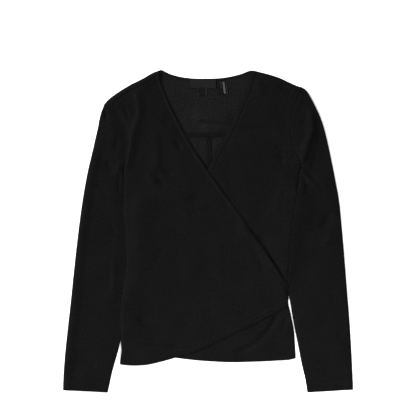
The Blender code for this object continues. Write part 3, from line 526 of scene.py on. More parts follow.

# Creases of the top layer, for the pieces that have them: the points of the
# line, the half widths on its left and right, and its rise (less than 0 is a hollow).
creases = {
    "over": [
        # ridge beside the right armhole
        ([(-153.5, 302.5), (-149, 279.5), (-145, 258.5), (-146, 239.5), (-153.5, 220.5),
          (-159, 195.5), (-163, 170.5), (-169, 145), (-172, 124)], 11, 6, 3.15),
        # hollow between it and the armhole
        ([(-182.5, 271), (-174.5, 258.5), (-168.5, 241.5), (-167, 225)], 3.5, 3.5, -1.1),
        # roll along the right side
        ([(-148, 86.5), (-146, 34), (-145, -18.5), (-144, -65), (-149, -96.5), (-161.5, -121.5),
          (-170, -151), (-174.5, -191), (-175.5, -228.5)], 34, 17, 4.3),
        ([(-124, 124), (-109, 113.5), (-94.5, 101), (-77.5, 92.5)], 6.5, 6.5, -2.3),
        ([(-94.5, 128.5), (-86, 122), (-73.5, 118)], 4, 4, -1.6),
        ([(-71.5, 191.5), (-63, 181), (-52.5, 168)], 4.5, 4.5, -2.3),
        ([(-65, 92.5), (-48.5, 77), (-29.5, 68.5), (-2, 65.5)], 7, 7, -2.5),
        # short steps that shade towards the lower right
        ([(-117, 98), (-106, 118)], 14, 6, 2.0),
        ([(-52, 62), (-42, 90)], 20, 13, 2.6),
        ([(-42, 38), (-31.5, 37), (-19, 40)], 5, 5, -1.1),
        # soft upright ridges on the chest
        ([(-109, 216.5), (-106, 181), (-106, 149.5), (-109, 120)], 8, 13, 1.95),
        ([(-84, 254.5), (-84, 229), (-88, 204)], 10, 10, -1.6),
        # folds above the hem
        ([(-149, -172), (-138.5, -190), (-122, -203.5), (-103, -212), (-75.5, -217)], 4, 4, -2.3),
        ([(-155.5, -235), (-122, -241.5), (-84, -245.5), (-50.5, -239)], 5, 5, -2.05),
        # slack beside the wrap edge
        ([(80, -10.5), (94.5, -33.5), (109, -60.5), (117.5, -90)], 5, 5, -1.35),
        ([(126, -56.5), (143, -86), (155.5, -113), (159.5, -142.5)], 6, 16, 2.7),
        ([(-10.5, -142.5), (2, -147), (14.5, -144.5)], 6, 6, -1.2),
        # the wrap edge lifts off the under front
        ([(63, 25.5), (88, -6), (109, -34.5), (126, -56.5), (143, -77.5)], 3, 13, 3.4),
        # the wrap edge stands up a little where its shadow is darkest
        ([(90, 0), (104, -18), (120, -40), (136, -66)], 7, 7, 0.7),
    ],
    "under": [
        # ridge from the neck point
        ([(102, 325.5), (107, 302.5), (113.5, 277.5)], 10, 8, 2.45),
        # hollow at the shoulder
        ([(149, 309), (161.5, 297.5), (174.5, 294), (182.5, 299.5)], 5, 5, -2.2),
        ([(63, 216.5), (98.5, 213.5), (126, 210), (149, 204)], 7, 7, -2.4),
        ([(136.5, 174.5), (153.5, 176.5), (170, 175.5)], 5, 5, -1.5),
        ([(149, 170.5), (154.5, 155.5), (155.5, 134.5)], 6, 6, -1.45),
        ([(19, 147), (38, 152.5), (52.5, 166)], 4, 4, 0.75),
        ([(23, 122), (33.5, 105), (42, 90.5)], 5, 5, 1.1),
        ([(84, 48.5), (101, 52.5), (115.5, 61)], 5, 5, -0.85),
        ([(153.5, 94.5), (145, 65.5), (142, 23.5)], 9, 6, 1.1),
        # folds at the low left corner
        ([(151, -153), (143, -176), (132.5, -199.5), (115.5, -220.5), (94.5, -238),
          (71.5, -249.5), (50.5, -256)], 4.5, 4.5, -3.55),
        ([(170, -176), (160.5, -195), (153.5, -214)], 5, 5, -2.3),
        ([(126, -233), (140.5, -241.5), (155.5, -245.5)], 5, 5, -1.1),
    ],
    "under sleeve": [
        # body and sleeve rise to the left slit
        ([(193, 115.5), (190, 103), (184, 55), (174.5, -2), (169.5, -56.5),
          (168.5, -98.5)], 26, 34, 3.2),
    ],
    "sleeve": [
        # right sleeve: dimple below the shoulder
        ([(-219.5, 258.5), (-215, 246), (-212, 231)], 5, 5, -2.7),
        ([(-210, 237.5), (-201.5, 218.5), (-199.5, 197.5), (-203.5, 176.5)], 8, 9, 1.45),
        ([(-195.5, 197.5), (-192, 178.5), (-195.5, 160)], 7, 7, -1.45),
        ([(-216.5, 149.5), (-206, 132.5), (-197.5, 115.5)], 8, 8, -1.95),
        ([(-178.5, 155.5), (-184, 141), (-191, 122)], 6, 6, 1.7),
        # hollow below the underarm
        ([(-180.5, 126), (-185.5, 111.5), (-187, 94.5), (-184.5, 76)], 3.5, 3.5, -1.45),
        # elbow
        ([(-237.5, 101), (-224.5, 90.5), (-214, 82), (-203.5, 75)], 4.5, 4.5, -2.2),
        ([(-241.5, 88.5), (-227, 73.5), (-210, 65.5)], 6, 6, 1.45),
        ([(-205, 19), (-199.5, 6.5), (-191, -8)], 4, 4, -1.45),
        ([(-235, 8.5), (-222.5, 3.5), (-210, 2.5)], 6, 6, -0.6),
        ([(-196.5, -56.5), (-197.5, -92), (-200, -140.5)], 5, 5, 1.2),
        ([(-205, -52.5), (-207, -86), (-207, -128)], 3.5, 3.5, -0.6),
        ([(-210, -149), (-197.5, -151), (-182.5, -149)], 5, 5, -1.1),
        # left sleeve: fold down the cap
        ([(200.5, 251), (209, 253.5), (216.5, 244), (220, 227), (217.5, 210), (211, 191.5),
          (205, 170.5), (197.5, 147), (194, 132.5)], 7.5, 9, 3.6),
        # hollow outside it
        ([(222.5, 252), (229, 225), (231, 199.5), (229, 170.5), (222.5, 141),
          (216.5, 111.5)], 40, 8, -2.2),
        ([(209, 197.5), (218.5, 196.5), (231, 191.5)], 2.5, 2.5, 1.1),
        ([(194, 258.5), (199.5, 266), (208, 273)], 3.5, 3.5, -1.1),
        ([(193, 229), (201.5, 226.5), (210, 232.5)], 3, 3, -1.2),
        ([(201.5, 199.5), (195.5, 189), (191, 176.5)], 4, 4, -0.6),
        # folds at the underarm
        ([(193, 136.5), (203.5, 128.5), (216.5, 117), (233, 103)], 4, 4, -2.45),
        ([(197.5, 128.5), (210, 110.5), (224.5, 97), (237.5, 80)], 5, 5, 2.2),
        ([(197.5, 124), (203.5, 107.5), (208, 90.5), (210, 71.5)], 6, 6, -1.9),
        # elbow
        ([(260.5, 48.5), (250, 23.5), (235, -2)], 9, 9, -2.45),
        ([(258.5, -4), (250, -21), (237.5, -35.5)], 8, 8, 1.7),
        # hollow beside it
        ([(233, 107.5), (229, 86.5), (219.5, 55), (212, 13), (203.5, -29), (197.5, -65),
          (193, -102.5), (193, -144.5)], 30, 24, -1.2),
        ([(218.5, 73.5), (212, 44.5), (206, 13)], 9, 9, 0.85),
    ],
    "sleeve over": [
        # valley along the armhole
        ([(-209, 260.5), (-202.5, 256.5), (-192, 249), (-182, 236.5), (-174, 219),
          (-170.5, 195.5), (-172, 171), (-176, 148), (-178.5, 132.5)], 4.5, 12, -2.3),
    ],
}
# a crease is worked out in 5 mm steps, out to 2.6 widths, and tapers at both ends
creaseForm = {"step": 5.0, "clear": 2.6, "taper": 0.35, "longTaper": 22.0}
# slight waves all over, which keep the flat parts from looking like a board
ripples = {"count": 28, "seed": 11, "longest": 110.0, "shortest": 26.0, "height": 0.16}


def makeRipples():
    draw = np.random.default_rng(ripples["seed"])
    wave = np.exp(draw.uniform(np.log(ripples["shortest"]), np.log(ripples["longest"]),
                               ripples["count"]))
    turn = draw.uniform(0, np.pi, ripples["count"])
    phase = draw.uniform(0, 2 * np.pi, ripples["count"])
    return 2 * np.pi * np.cos(turn) / wave, 2 * np.pi * np.sin(turn) / wave, phase, wave


rippleWaves = makeRipples()


def rippleHeight(x, y):
    z = np.zeros(np.shape(x))
    for kx, ky, phase, wave in zip(*rippleWaves):
        z += ripples["height"] * wave / ripples["longest"] * np.sin(kx * x + ky * y + phase)
    return z


def creaseHeight(x, y, piece, table=creases):
    z = np.zeros(np.shape(x))
    rows = [row for owners in table if piece in owners.split() for row in table[owners]]
    for points, leftWidth, rightWidth, rise in rows:
        line = smoothLine(points, step=creaseForm["step"])
        clear = creaseForm["clear"] * max(leftWidth, rightWidth)
        low, high = line.min(axis=0) - clear, line.max(axis=0) + clear
        near = (x > low[0]) & (x < high[0]) & (y > low[1]) & (y < high[1])
        if not near.any():
            continue
        spots = np.stack([x[near], y[near]], axis=1)[:, None]
        starts, steps = line[:-1][None], np.diff(line, axis=0)[None]
        share = np.clip(np.sum((spots - starts) * steps, axis=2) / np.sum(steps**2, axis=2), 0, 1)
        away = spots - starts - share[..., None] * steps
        distance = np.linalg.norm(away, axis=2)
        rank, best = np.arange(len(spots)), np.argmin(distance, axis=1)
        step, gone = steps[0][best], away[rank, best]
        onLeft = step[:, 0] * gone[:, 1] - step[:, 1] * gone[:, 0] > 0
        total = lengths(line)[-1]
        along = (best + share[rank, best]) / (len(line) - 1) * total
        taper = min(creaseForm["taper"] * total, creaseForm["longTaper"])
        ends = smoothStep(along / taper) * smoothStep((total - along) / taper)
        width = np.where(onLeft, leftWidth, rightWidth)
        z[near] += rise * ends * np.exp(-(distance[rank, best] / width) ** 2)
    return z


edgeTrees = {name: treeOf([curves[name]]) for name in
             ("wrapOver", "wrapUnder", "hemOver", "hemUnder", "cuffRight", "cuffLeft")}
seamTree = treeOf([seams["shoulderRight"], seams["shoulderLeft"],
                   curves["armholeFrontRight"], curves["armholeFrontLeft"]])
bindingTree = treeOf([seams["wrapOver"], seams["wrapUnder"]])
# a seam pulls in a groove, and beside it the allowances below swell the cloth
seamForm = {"depth": 0.4, "width": 1.2, "swell": 0.3, "at": 4.2, "reach": 2.2,
            "softer": 0.45, "softFrom": 80.0, "softTo": 130.0,
            "bindingDepth": 0.6, "bindingWidth": 1.4}
hemForm = {"over": 12.0, "under": 10.0, "sleeve": 19.0, "rise": 0.30, "before": 1.0,
           "ease": 1.4, "groove": 0.30, "width": 1.0}


def nearEdge(name, x, y, reach):
    return 1.0 - smoothStep(np.abs(sideDistance(edgeTrees[name], x, y)) / reach)


def hemHeight(distance, depth):
    # the turned-up hem is a double layer as far as its stitching, which pulls in a groove
    beyond = (distance - depth + hemForm["before"]) / hemForm["ease"]
    raised = hemForm["rise"] * (1 - smoothStep(beyond))
    groove = hemForm["groove"] * np.exp(-((distance - depth) / hemForm["width"]) ** 2)
    return raised - groove


# the right sleeve sinks towards the body; each outer fold has its own rim
# "ends" are the heights up the body where these fade, and over what length
sleeveRim = {"sink": 2.4, "sinkReach": 26.0, "rightRim": 2.2, "leftRim": -0.7, "rimFrom": 8.0,
             "rimTo": 26.0, "sinkEnds": (-250, 60, 60), "rightEnds": (140, 80),
             "leftEnds": (-60, 80), "capReach": 150.0}
innerTree = treeOf([curves["sideRight"], curves["sideLeft"]])
outerTree = treeOf([curves["sleeveOuterRight"], curves["sleeveOuterLeft"]])


def sleeveRelief(x, y):
    low, high, fade = sleeveRim["sinkEnds"]
    below = (1 - smoothStep((y - high) / fade)) * smoothStep((y - low) / fade) * (x < 0)
    sink = 1 - smoothStep(np.abs(sideDistance(innerTree, x, y)) / sleeveRim["sinkReach"])
    away = np.abs(sideDistance(outerTree, x, y)) - sleeveRim["rimFrom"]
    rim = 1 - smoothStep(away / (sleeveRim["rimTo"] - sleeveRim["rimFrom"]))
    start, fade = sleeveRim["rightEnds"]
    right = sleeveRim["rightRim"] * (1 - smoothStep((y - start) / fade)) * (x < 0)
    start, fade = sleeveRim["leftEnds"]
    left = sleeveRim["leftRim"] * smoothStep((y - start) / fade) * (x > 0)
    return rim * (right + left) - sleeveRim["sink"] * sink * below


def topHeight(x, y, piece):
    # the outer face of the top layer, away from the rounded edges
    under = piece == "under"
    covered = coverShare(x, y) if under else 0.0
    smoothed = coverShare(x, y, lay["smoothMargin"], lay["smoothFade"]) if under else 0.0
    start, full = lay["crossingClear"]
    middle = seamPlan["crossing"]
    above = smoothStep((np.hypot(x - middle[0], y - middle[1]) - start) / (full - start))
    above = above * (y > middle[1])
    inner = smoothStep(foldDistance(x, y, under) / lay["foldClear"])
    detail = creaseHeight(x, y, piece) + rippleHeight(x, y)
    if piece == "sleeve":
        cuff = np.where(x < 0, np.abs(sideDistance(edgeTrees["cuffRight"], x, y)),
                        np.abs(sideDistance(edgeTrees["cuffLeft"], x, y)))
        fall = lay["cuffFall"] * (1.0 - smoothStep(cuff / lay["hemReach"]))
        detail = detail + sleeveRelief(x, y) + hemHeight(cuff, hemForm["sleeve"])
    else:
        wrap, hem = ("wrapUnder", "hemUnder") if under else ("wrapOver", "hemOver")
        hemFall = lay["hemUnderFall"] if under else lay["hemOverFall"]
        fall = (lay["neckFall"] * nearEdge(wrap, x, y, lay["neckReach"]) * above
                + hemFall * nearEdge(hem, x, y, lay["hemReach"]))
        hemDistance = np.abs(sideDistance(edgeTrees[hem], x, y))
        detail = detail + hemHeight(hemDistance, hemForm[piece])
    seam = np.abs(sideDistance(seamTree, x, y))
    soft = smoothStep((x - seamForm["softFrom"]) / (seamForm["softTo"] - seamForm["softFrom"]))
    depth = seamForm["depth"] * (1 - seamForm["softer"] * soft)  # the left armhole shows less
    swell = seamForm["swell"] * np.exp(-((seam - seamForm["at"]) / seamForm["reach"]) ** 2)
    detail = detail - depth * np.exp(-(seam / seamForm["width"]) ** 2) + swell
    if piece != "sleeve":
        binding = np.abs(sideDistance(bindingTree, x, y))
        groove = np.exp(-(binding / seamForm["bindingWidth"]) ** 2)
        fall = fall + seamForm["bindingDepth"] * groove
    z = (lay["top"] - dropUnder(x, y) * covered + (1.0 - smoothed) * detail
         - (1.0 - covered) * fall * inner)
    if under:
        # the under front stays below the over front's hollows
        over = lay["top"] + creaseHeight(x, y, "over") + rippleHeight(x, y)
        z = z - smoothed * np.maximum(0.0, z - (over - lay["cloth"] - lay["layerGap"]))
    return z


def rolledEdge(x, y):
    # the height of the nearest fold's edge and how far its roll reaches in
    slit, rise = slitShare(x, y)
    return lay["edge"] + rise, lay["roll"] * (1 - slits["tighter"] * slit)


def liftTop(plan, piece, lip=lay["lip"], proud=0.0):
    x, y = plan[..., 0], plan[..., 1]
    edge, reach = rolledEdge(x, y)
    low = edge + lip
    rounded = roundness(foldDistance(x, y, piece == "under"), reach)
    z = low + (topHeight(x, y, piece) + proud - low) * rounded
    return np.concatenate([plan, z[..., None]], axis=-1)


# wrinkles of the back: two show in the neck opening, the others lie under the top
backCreases = {"back": [
    ([(-36, 236), (-6, 235), (14.5, 233), (33.5, 230), (54, 226.5)], 22, 5.5, 3.8),
    ([(-18, 217.5), (-3, 217), (14.5, 215.5), (30, 213.5), (42, 211)], 5.5, 9, 3.5),
    ([(-26.5, 193), (-26, 178), (-24, 166)], 3, 3, 0.9),
    ([(-10, 190), (-9, 172), (-11, 156)], 4, 3, 0.7),
    ([(13, 194), (16, 180), (13, 168)], 4, 3, 0.7),
    ([(-150, 60), (-128, -10), (-132, -90), (-150, -160)], 14, 12, 1.3),
    ([(140, 70), (118, 0), (112, -80), (130, -150)], 13, 14, 0.5),
    ([(-60, 60), (-15, 40), (40, 55)], 9, 9, 0.5),
    ([(-70, 10), (-20, -8), (50, 4)], 8, 9, 0.9),
    ([(-120, -215), (-60, -200), (-5, -214)], 9, 8, 0.5),
    ([(30, -190), (80, -205), (140, -192)], 8, 9, 0.3),
    ([(-120, 280), (-132, 235), (-128, 200)], 8, 8, 1.2),
    ([(128, 280), (138, 240), (130, 205)], 8, 8, 1.2),
    ([(-232, 90), (-214, 70), (-196, 62)], 6, 7, 1.2),
    ([(-240, 40), (-222, 24), (-200, 20)], 6, 6, 1.0),
    ([(240, 90), (224, 66), (206, 56)], 6, 7, 1.2),
    ([(250, 30), (232, 14), (208, 10)], 6, 6, 1.0),
    ([(-236, 240), (-214, 214), (-204, 180)], 8, 8, 1.0),
    ([(226, 250), (214, 214), (212, 176)], 8, 8, 0.7),
    ([(-260, -180), (-244, -230), (-250, -280)], 9, 9, 0.9),
    ([(262, -170), (248, -226), (252, -280)], 9, 9, 0.9),
]}


def liftBottom(plan, lip=lay["lip"]):
    x, y = plan[..., 0], plan[..., 1]
    edge, reach = rolledEdge(x, y)
    z = (edge - lip) * (1.0 - roundness(foldDistance(x, y), reach))
    z = z + creaseHeight(x, y, "back", backCreases)
    return np.concatenate([plan, z[..., None]], axis=-1)


# how many steps the pieces have between their rounded edges, about 3 mm each
fine = {"frontColumns": 108, "armhole": 54, "side": 108, "wrap": 144, "wrapEnd": 18,
        "backArmhole": 27, "backColumns": 60, "neck": 66, "cap": 60, "sleeve": 156,
        "sleeveColumns": 34, "yoke": 48, "flapNarrow": 4, "flapWide": 6}


def spreadSteps(length, count, startRoll=True, endRoll=True):
    near = list(lay["rollSteps"]) if startRoll else [0.0]
    far = list(lay["rollSteps"]) if endRoll else [0.0]
    scale = min(1.0, lay["rollShare"] * length / lay["roll"])
    near, far = [scale * step for step in near], [scale * step for step in far]
    middle = np.linspace(near[-1], length - far[-1], count + 1)
    start = [0.0] + near[:-1] if startRoll else []
    end = [length - step for step in reversed([0.0] + far[:-1])] if endRoll else []
    return np.array(start + list(middle) + end)


def flapSteps(width):
    if width < lay["roll"]:
        inner = [step for step in lay["rollSteps"] if step < width - lay["rollClear"]]
        return np.array([0.0, *inner, *np.linspace(inner[-1], width, fine["flapNarrow"])[1:]])
    return np.array([0.0, *lay["rollSteps"][:-1],
                     *np.linspace(lay["roll"], width, fine["flapWide"])])


def patchGrid(top, bottom, left, right, columns, endRoll=True):
    vLeft, vRight = lengths(left) / lengths(left)[-1], lengths(right) / lengths(right)[-1]
    rows = []
    for i, (a, b) in enumerate(zip(left, right)):
        width = np.linalg.norm(b - a)
        if i in (0, len(left) - 1):
            width = lengths(top if i == 0 else bottom)[-1]
        steps = spreadSteps(width, columns, True, endRoll) if np.isscalar(columns) else columns
        u = (steps / steps[-1])[:, None]
        v = (1 - u) * vLeft[i] + u * vRight[i]
        upper = pointsAt(top, u[:, 0] * lengths(top)[-1])
        lower = pointsAt(bottom, u[:, 0] * lengths(bottom)[-1])
        corners = ((1 - u) * ((1 - v) * left[0] + v * left[-1])
                   + u * ((1 - v) * right[0] + v * right[-1]))
        rows.append((1 - v) * upper + v * lower + (1 - u) * a + u * b - corners)
    return np.array(rows)


def partSeams(grid, which, gap=seamPlan["gap"]):
    # moves the named sides of the grid inwards by half a seam's clear width
    moved = grid.copy()
    for side in which:
        turned = grid if side in ("left", "right") else np.swapaxes(grid, 0, 1)
        edge, inner = turned[:, 0], turned[:, -1]
        if side in ("right", "bottom"):
            edge, inner = inner, edge
        width = np.linalg.norm((inner - edge)[:, :2], axis=1)[:, None]
        across = leftSides(edge[:, :2])
        facing = np.sign(np.sum(across * (inner - edge)[:, :2], axis=1))[:, None]
        steps = np.linalg.norm((turned - edge[:, None])[..., :2], axis=2)
        reach = np.maximum(np.minimum(seamPlan["reach"], width), 1e-6)
        share = np.clip(1.0 - steps / reach, 0.0, 1.0)[..., None]
        shift = gap * share * (across * facing)[:, None]
        moved[..., :2] += shift if turned is grid else np.swapaxes(shift, 0, 1)
    return moved


def finishPiece(piece, node):
    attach(piece, "root")
    if node:
        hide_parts(node)
    return piece


# points this near are one; faces that turn by less than the angle are shaded as one
shell = {"merge": 0.002, "angle": 50}


def clothPiece(name, parts, node=None, looks=("crepe", "crepeInside"),
               wall=lay["cloth"]):
    # each part is a grid of outer-face points and whether that face looks up
    points, faces, maps = [], [], []
    for grid, facesUp, *grain in parts:
        rows, columns = grid.shape[:2]
        index = len(points) + np.arange(rows * columns).reshape(rows, columns)
        down, side = (grid[-1, 0] - grid[-2, 0])[:2], (grid[-1, -1] - grid[-1, 0])[:2]
        quads = np.stack([index[:-1, :-1], index[1:, :-1], index[1:, 1:], index[:-1, 1:]],
                         axis=-1)
        if (down[0] * side[1] - down[1] * side[0] > 0) != facesUp:
            quads = quads[..., ::-1]
        points.extend(grid.reshape(-1, 3) * mm)
        maps.extend((grain[0] if grain else grid[..., :2]).reshape(-1, 2) * mm)
        faces.extend(quads.reshape(-1, 4).tolist())
    mesh = bpy.data.meshes.new(name)
    mesh.from_pydata([tuple(p) for p in points], [], faces)
    cloth = mesh.uv_layers.new(name="cloth")
    corners = np.zeros(len(mesh.loops), np.int32)
    mesh.loops.foreach_get("vertex_index", corners)
    cloth.data.foreach_set("uv", np.array(maps, np.float32)[corners].ravel())
    shape = bmesh.new()
    shape.from_mesh(mesh)
    bmesh.ops.remove_doubles(shape, verts=shape.verts, dist=shell["merge"] * mm)
    shape.to_mesh(mesh)
    shape.free()
    piece = bpy.data.objects.new(name, mesh)
    scene.collection.objects.link(piece)
    for look in looks:
        mesh.materials.append(materials[look])
    deselectAll()
    bpy.context.view_layer.objects.active = piece
    piece.select_set(True)
    solid = piece.modifiers.new("wall", "SOLIDIFY")
    solid.thickness = wall * mm
    solid.offset = -1.0
    solid.material_offset = len(looks) - 1
    bpy.ops.object.modifier_apply(modifier="wall")
    bpy.ops.object.shade_smooth_by_angle(angle=np.radians(shell["angle"]))
    return finishPiece(piece, node)


# each front: the hand of its armhole, its own side, the side it reaches to, and its flaps
# at the armhole and at the neck
fronts = {"over": ("Right", "sideRight", "sideLeft", "flapRightArm", "flapRightNeck"),
          "under": ("Left", "sideLeftIn", "sideRightIn", "flapLeft", "flapLeft")}


def makeFront(piece):
    hand, ownSide, farSide, armFlap, neckFlap = fronts[piece]
    armhole, wrap = curves["armholeFront" + hand], seams["wrap" + piece.title()]
    own, far = curves[ownSide], curves[farSide]
    armFlap, neckFlap = seamPlan[armFlap], seamPlan[neckFlap]
    over, extra, short = piece == "over", seamPlan["runOn"], seamPlan["runOnShort"]
    hem = trimLine(curves["hem" + piece.title()], *((own, far) if over else (far, own)))
    down = armFlap + spreadSteps(lengths(armhole)[-1] - armFlap, fine["armhole"], startRoll=False)
    sideEnd = crossingOf(runOn(own, extra), runOn(hem, extra)) - extra
    outer = joinLines(pointsAt(armhole, down),
                      pointsAt(own, np.linspace(0, sideEnd, fine["side"] + 1)))
    along = neckFlap + spreadSteps(lengths(wrap)[-1] - neckFlap, fine["wrap"], startRoll=False)
    end = np.linspace(crossingOf(far, runOn(wrap, short)), crossingOf(far, runOn(hem, short)),
                      fine["wrapEnd"] + 1)
    inner = joinLines(pointsAt(wrap, along), pointsAt(far, end))
    left, right = (outer, inner) if over else (inner, outer)
    plan = patchGrid(seams["shoulder" + hand], hem, left, right, fine["frontColumns"])
    grid = partSeams(liftTop(plan, piece), ("top", "left", "right"))
    return clothPiece("front" + piece.title(), [(grid, True)], "front_" + piece)


def yokeStart(hand):
    beyond, y = seamPlan["beyond"], seamPlan["yokeY"]
    return crossingOf(curves["armholeBack" + hand], np.array([(-beyond, y), (beyond, y)]))


# the allowances that show in the neck opening: their ends, steps and places across
seamAllowance = {"yokeEnds": (-176, 176, 240), "yokeAcross": (197.7, 198.7, 202, 206.0, 206.6),
                 "centreEnds": (-252, 196.8, 150), "centreAcross": (-4.2, -3.6, 1.0, 6.0, 6.4),
                 "edge": 0.35, "free": 0.5, "wave": 1.1, "waver": 0.25, "above": 0.02}


def allowance(along, across, upright):
    # a pressed allowance; its free edge waves a little, as an overlocked one does
    a, b = np.meshgrid(np.asarray(along, float), np.asarray(across, float), indexing="ij")
    free = np.abs(b - (b.min() if upright else b.max())) < seamAllowance["free"]
    b = b + np.where(free, seamAllowance["waver"] * np.sin(a / seamAllowance["wave"]), 0.0)
    x, y = (b, a) if upright else (a, b)
    plan = np.stack([x, y], axis=-1)
    lift = 2 * lay["cloth"] + seamAllowance["above"] - np.where(free, seamAllowance["edge"], 0.0)
    z = liftBottom(plan, 0.0)[..., 2] + lift
    return np.concatenate([plan, z[..., None]], axis=-1)


def makeBack(hand):
    armhole, fold = curves["armholeBack" + hand], curves["side" + hand]
    start = yokeStart(hand)
    hem = curves["hemBack" + hand] if hand == "Right" else curves["hemBackLeft"][::-1]
    bottomY = lines["hemBackLeft"][0][1]
    centre = np.array([(seamPlan["centreX"], seamPlan["yokeY"]), (seamPlan["centreX"], bottomY)])
    sideEnd = crossingOf(fold, runOn(hem, seamPlan["runOn"]))
    hem = hem.copy()
    hem[0] = pointsAt(fold, sideEnd)
    down = start + spreadSteps(lengths(armhole)[-1] - start, fine["backArmhole"],
                               startRoll=False)
    outer = joinLines(pointsAt(armhole, down),
                      pointsAt(fold, np.linspace(0, sideEnd, fine["side"] + 1)))
    inner = pointsAt(centre, np.linspace(0, lengths(centre)[-1], len(outer)))
    plan = patchGrid(np.array([outer[0], centre[0]]), hem, outer, inner, fine["backColumns"],
                     endRoll=False)
    grid = partSeams(liftBottom(plan), ("top", "left", "right"))
    parts = [(grid, False)]
    if hand == "Right":
        # the centre seam's allowances lie pressed to this side, on the back's inner face
        parts.append((allowance(np.linspace(*seamAllowance["centreEnds"]),
                                seamAllowance["centreAcross"], True), True))
    return clothPiece("back" + hand, parts, "back_" + hand.lower())


def makeYoke():
    foldRight, neck, foldLeft = seams["foldRight"][::-1], seams["neckBack"], seams["foldLeft"]
    top = joinLines(foldRight, neck, foldLeft)
    ends = {hand: pointsAt(curves["armholeBack" + hand],
                           spreadSteps(yokeStart(hand), fine["yoke"], endRoll=False))
            for hand in ("Right", "Left")}
    bottom = np.array([ends["Right"][-1], ends["Left"][-1]])
    reach = [lengths(part)[-1] for part in (foldRight, neck, foldLeft)]
    across = np.concatenate([
        spreadSteps(reach[0], fine["frontColumns"]),
        reach[0] + spreadSteps(reach[1], fine["neck"])[1:],
        reach[0] + reach[1] + spreadSteps(reach[2], fine["frontColumns"])[1:]])
    body = liftBottom(patchGrid(top, bottom, ends["Right"], ends["Left"], across), lip=0.0)
    body = partSeams(body, ("left", "right", "bottom"))
    rolls = 2 * len(lay["rollSteps"])
    neckStart = fine["frontColumns"] + rolls
    neckEnd = neckStart + fine["neck"] + rolls
    atNeck = body[:, neckStart:neckEnd + 1]
    along = spreadSteps(reach[1], fine["neck"])
    ramp = np.minimum(along, along[-1] - along) / seamPlan["neckEase"]
    ramp = np.clip(ramp, 0.0, 1.0)[:, None]
    body[:, neckStart:neckEnd + 1] += ramp * (partSeams(atNeck, ("top",)) - atNeck)
    right = patchGrid(foldRight, seams["shoulderRight"],
                      pointsAt(curves["armholeFrontRight"], flapSteps(seamPlan["flapRightArm"])),
                      pointsAt(seams["wrapOver"], flapSteps(seamPlan["flapRightNeck"])),
                      fine["frontColumns"])
    left = patchGrid(foldLeft, seams["shoulderLeft"],
                     pointsAt(seams["wrapUnder"], flapSteps(seamPlan["flapLeft"])),
                     pointsAt(curves["armholeFrontLeft"], flapSteps(seamPlan["flapLeft"])),
                     fine["frontColumns"])
    parts = [(body, False)]
    for flap, piece, columns in ((right, "over", slice(0, neckStart + 1)),
                                 (left, "under", slice(neckEnd, None))):
        raised = partSeams(liftTop(flap, piece, lip=0.0), ("bottom", "left", "right"))
        raised[0] = body[0, columns]
        parts.append((raised, True))
    parts.append((allowance(np.linspace(*seamAllowance["yokeEnds"]),
                            seamAllowance["yokeAcross"], False), True))
    return clothPiece("backYoke", parts, "back_yoke")


def makeSleeve(hand):
    # rows run straight from the outer fold to the armhole, then to the inner fold
    outerFold, innerFold = curves["sleeveOuter" + hand], curves["sleeveInner" + hand]
    cuff = curves["cuff" + hand]
    reach = sleeveRim["capReach"]
    inner = pointsAt(innerFold, np.linspace(0, lengths(innerFold)[-1], fine["sleeve"] + 1))
    rest = np.linspace(reach, lengths(outerFold)[-1], fine["sleeve"] + 1)
    halves = []
    for name, facesUp in (("armholeFront" + hand, True), ("armholeBack" + hand, False)):
        armhole = curves[name]
        down = spreadSteps(lengths(armhole)[-1], fine["cap"])
        share = down / down[-1]
        outer = pointsAt(outerFold, np.concatenate([share * reach, rest[1:]]))
        outer[-1], inner[-1] = cuff[0], cuff[-1]
        rim = joinLines(pointsAt(armhole, down), inner)
        rows = []
        for a, b in zip(outer, rim):
            width = max(np.linalg.norm(b - a), 1e-6)
            rows.append(a + spreadSteps(width, fine["sleeveColumns"])[:, None] / width * (b - a))
        plan = np.array(rows)
        halves.append(liftTop(plan, "sleeve", lip=0.0) if facesUp else liftBottom(plan, lip=0.0))
    cap = len(share) - 1
    front, back = [parted(half, cap) for half in halves]
    back[:, 0] = front[:, 0]
    back[cap:, -1] = front[cap:, -1]
    # the cloth's own map runs down the sleeve and across it
    alongSleeve = np.concatenate([share * reach, rest[1:]])[:, None] + 0 * plan[..., 0]
    maps = []
    for grid, sign in ((front, 1.0), (back, -1.0)):
        acrossSleeve = np.concatenate([np.zeros((len(grid), 1)), np.cumsum(
            np.linalg.norm(np.diff(grid, axis=1), axis=2), axis=1)], axis=1)
        maps.append(np.stack([sign * acrossSleeve, -alongSleeve], axis=-1))
    return clothPiece("sleeve" + hand, [(front, True, maps[0]), (back, False, maps[1])],
                      "sleeve_" + hand.lower())


def parted(grid, cap):
    # the armhole's rows move off the seam; below the underarm the edge is a fold
    moved = partSeams(grid, ("right",))
    moved[0] = grid[0]
    moved[cap:] = grid[cap:]
    return moved


# the binding stands a little proud and dips at both edges; "stop" keeps its end off the fold
bandForm = {"lip": 0.1, "proud": 0.5, "wall": 1.25, "seamClear": 0.05, "step": 2.5,
            "stop": {"over": 1.2, "under": 6.0, "back": 1.6},
            "across": (0.0, 0.04, 0.12, 0.25, 0.5, 0.75, 0.9, 0.97, 1.0),
            "dip": (0.55, 0.22, 0.05, 0.0, 0.0, 0.02, 0.12, 0.35, 0.8)}


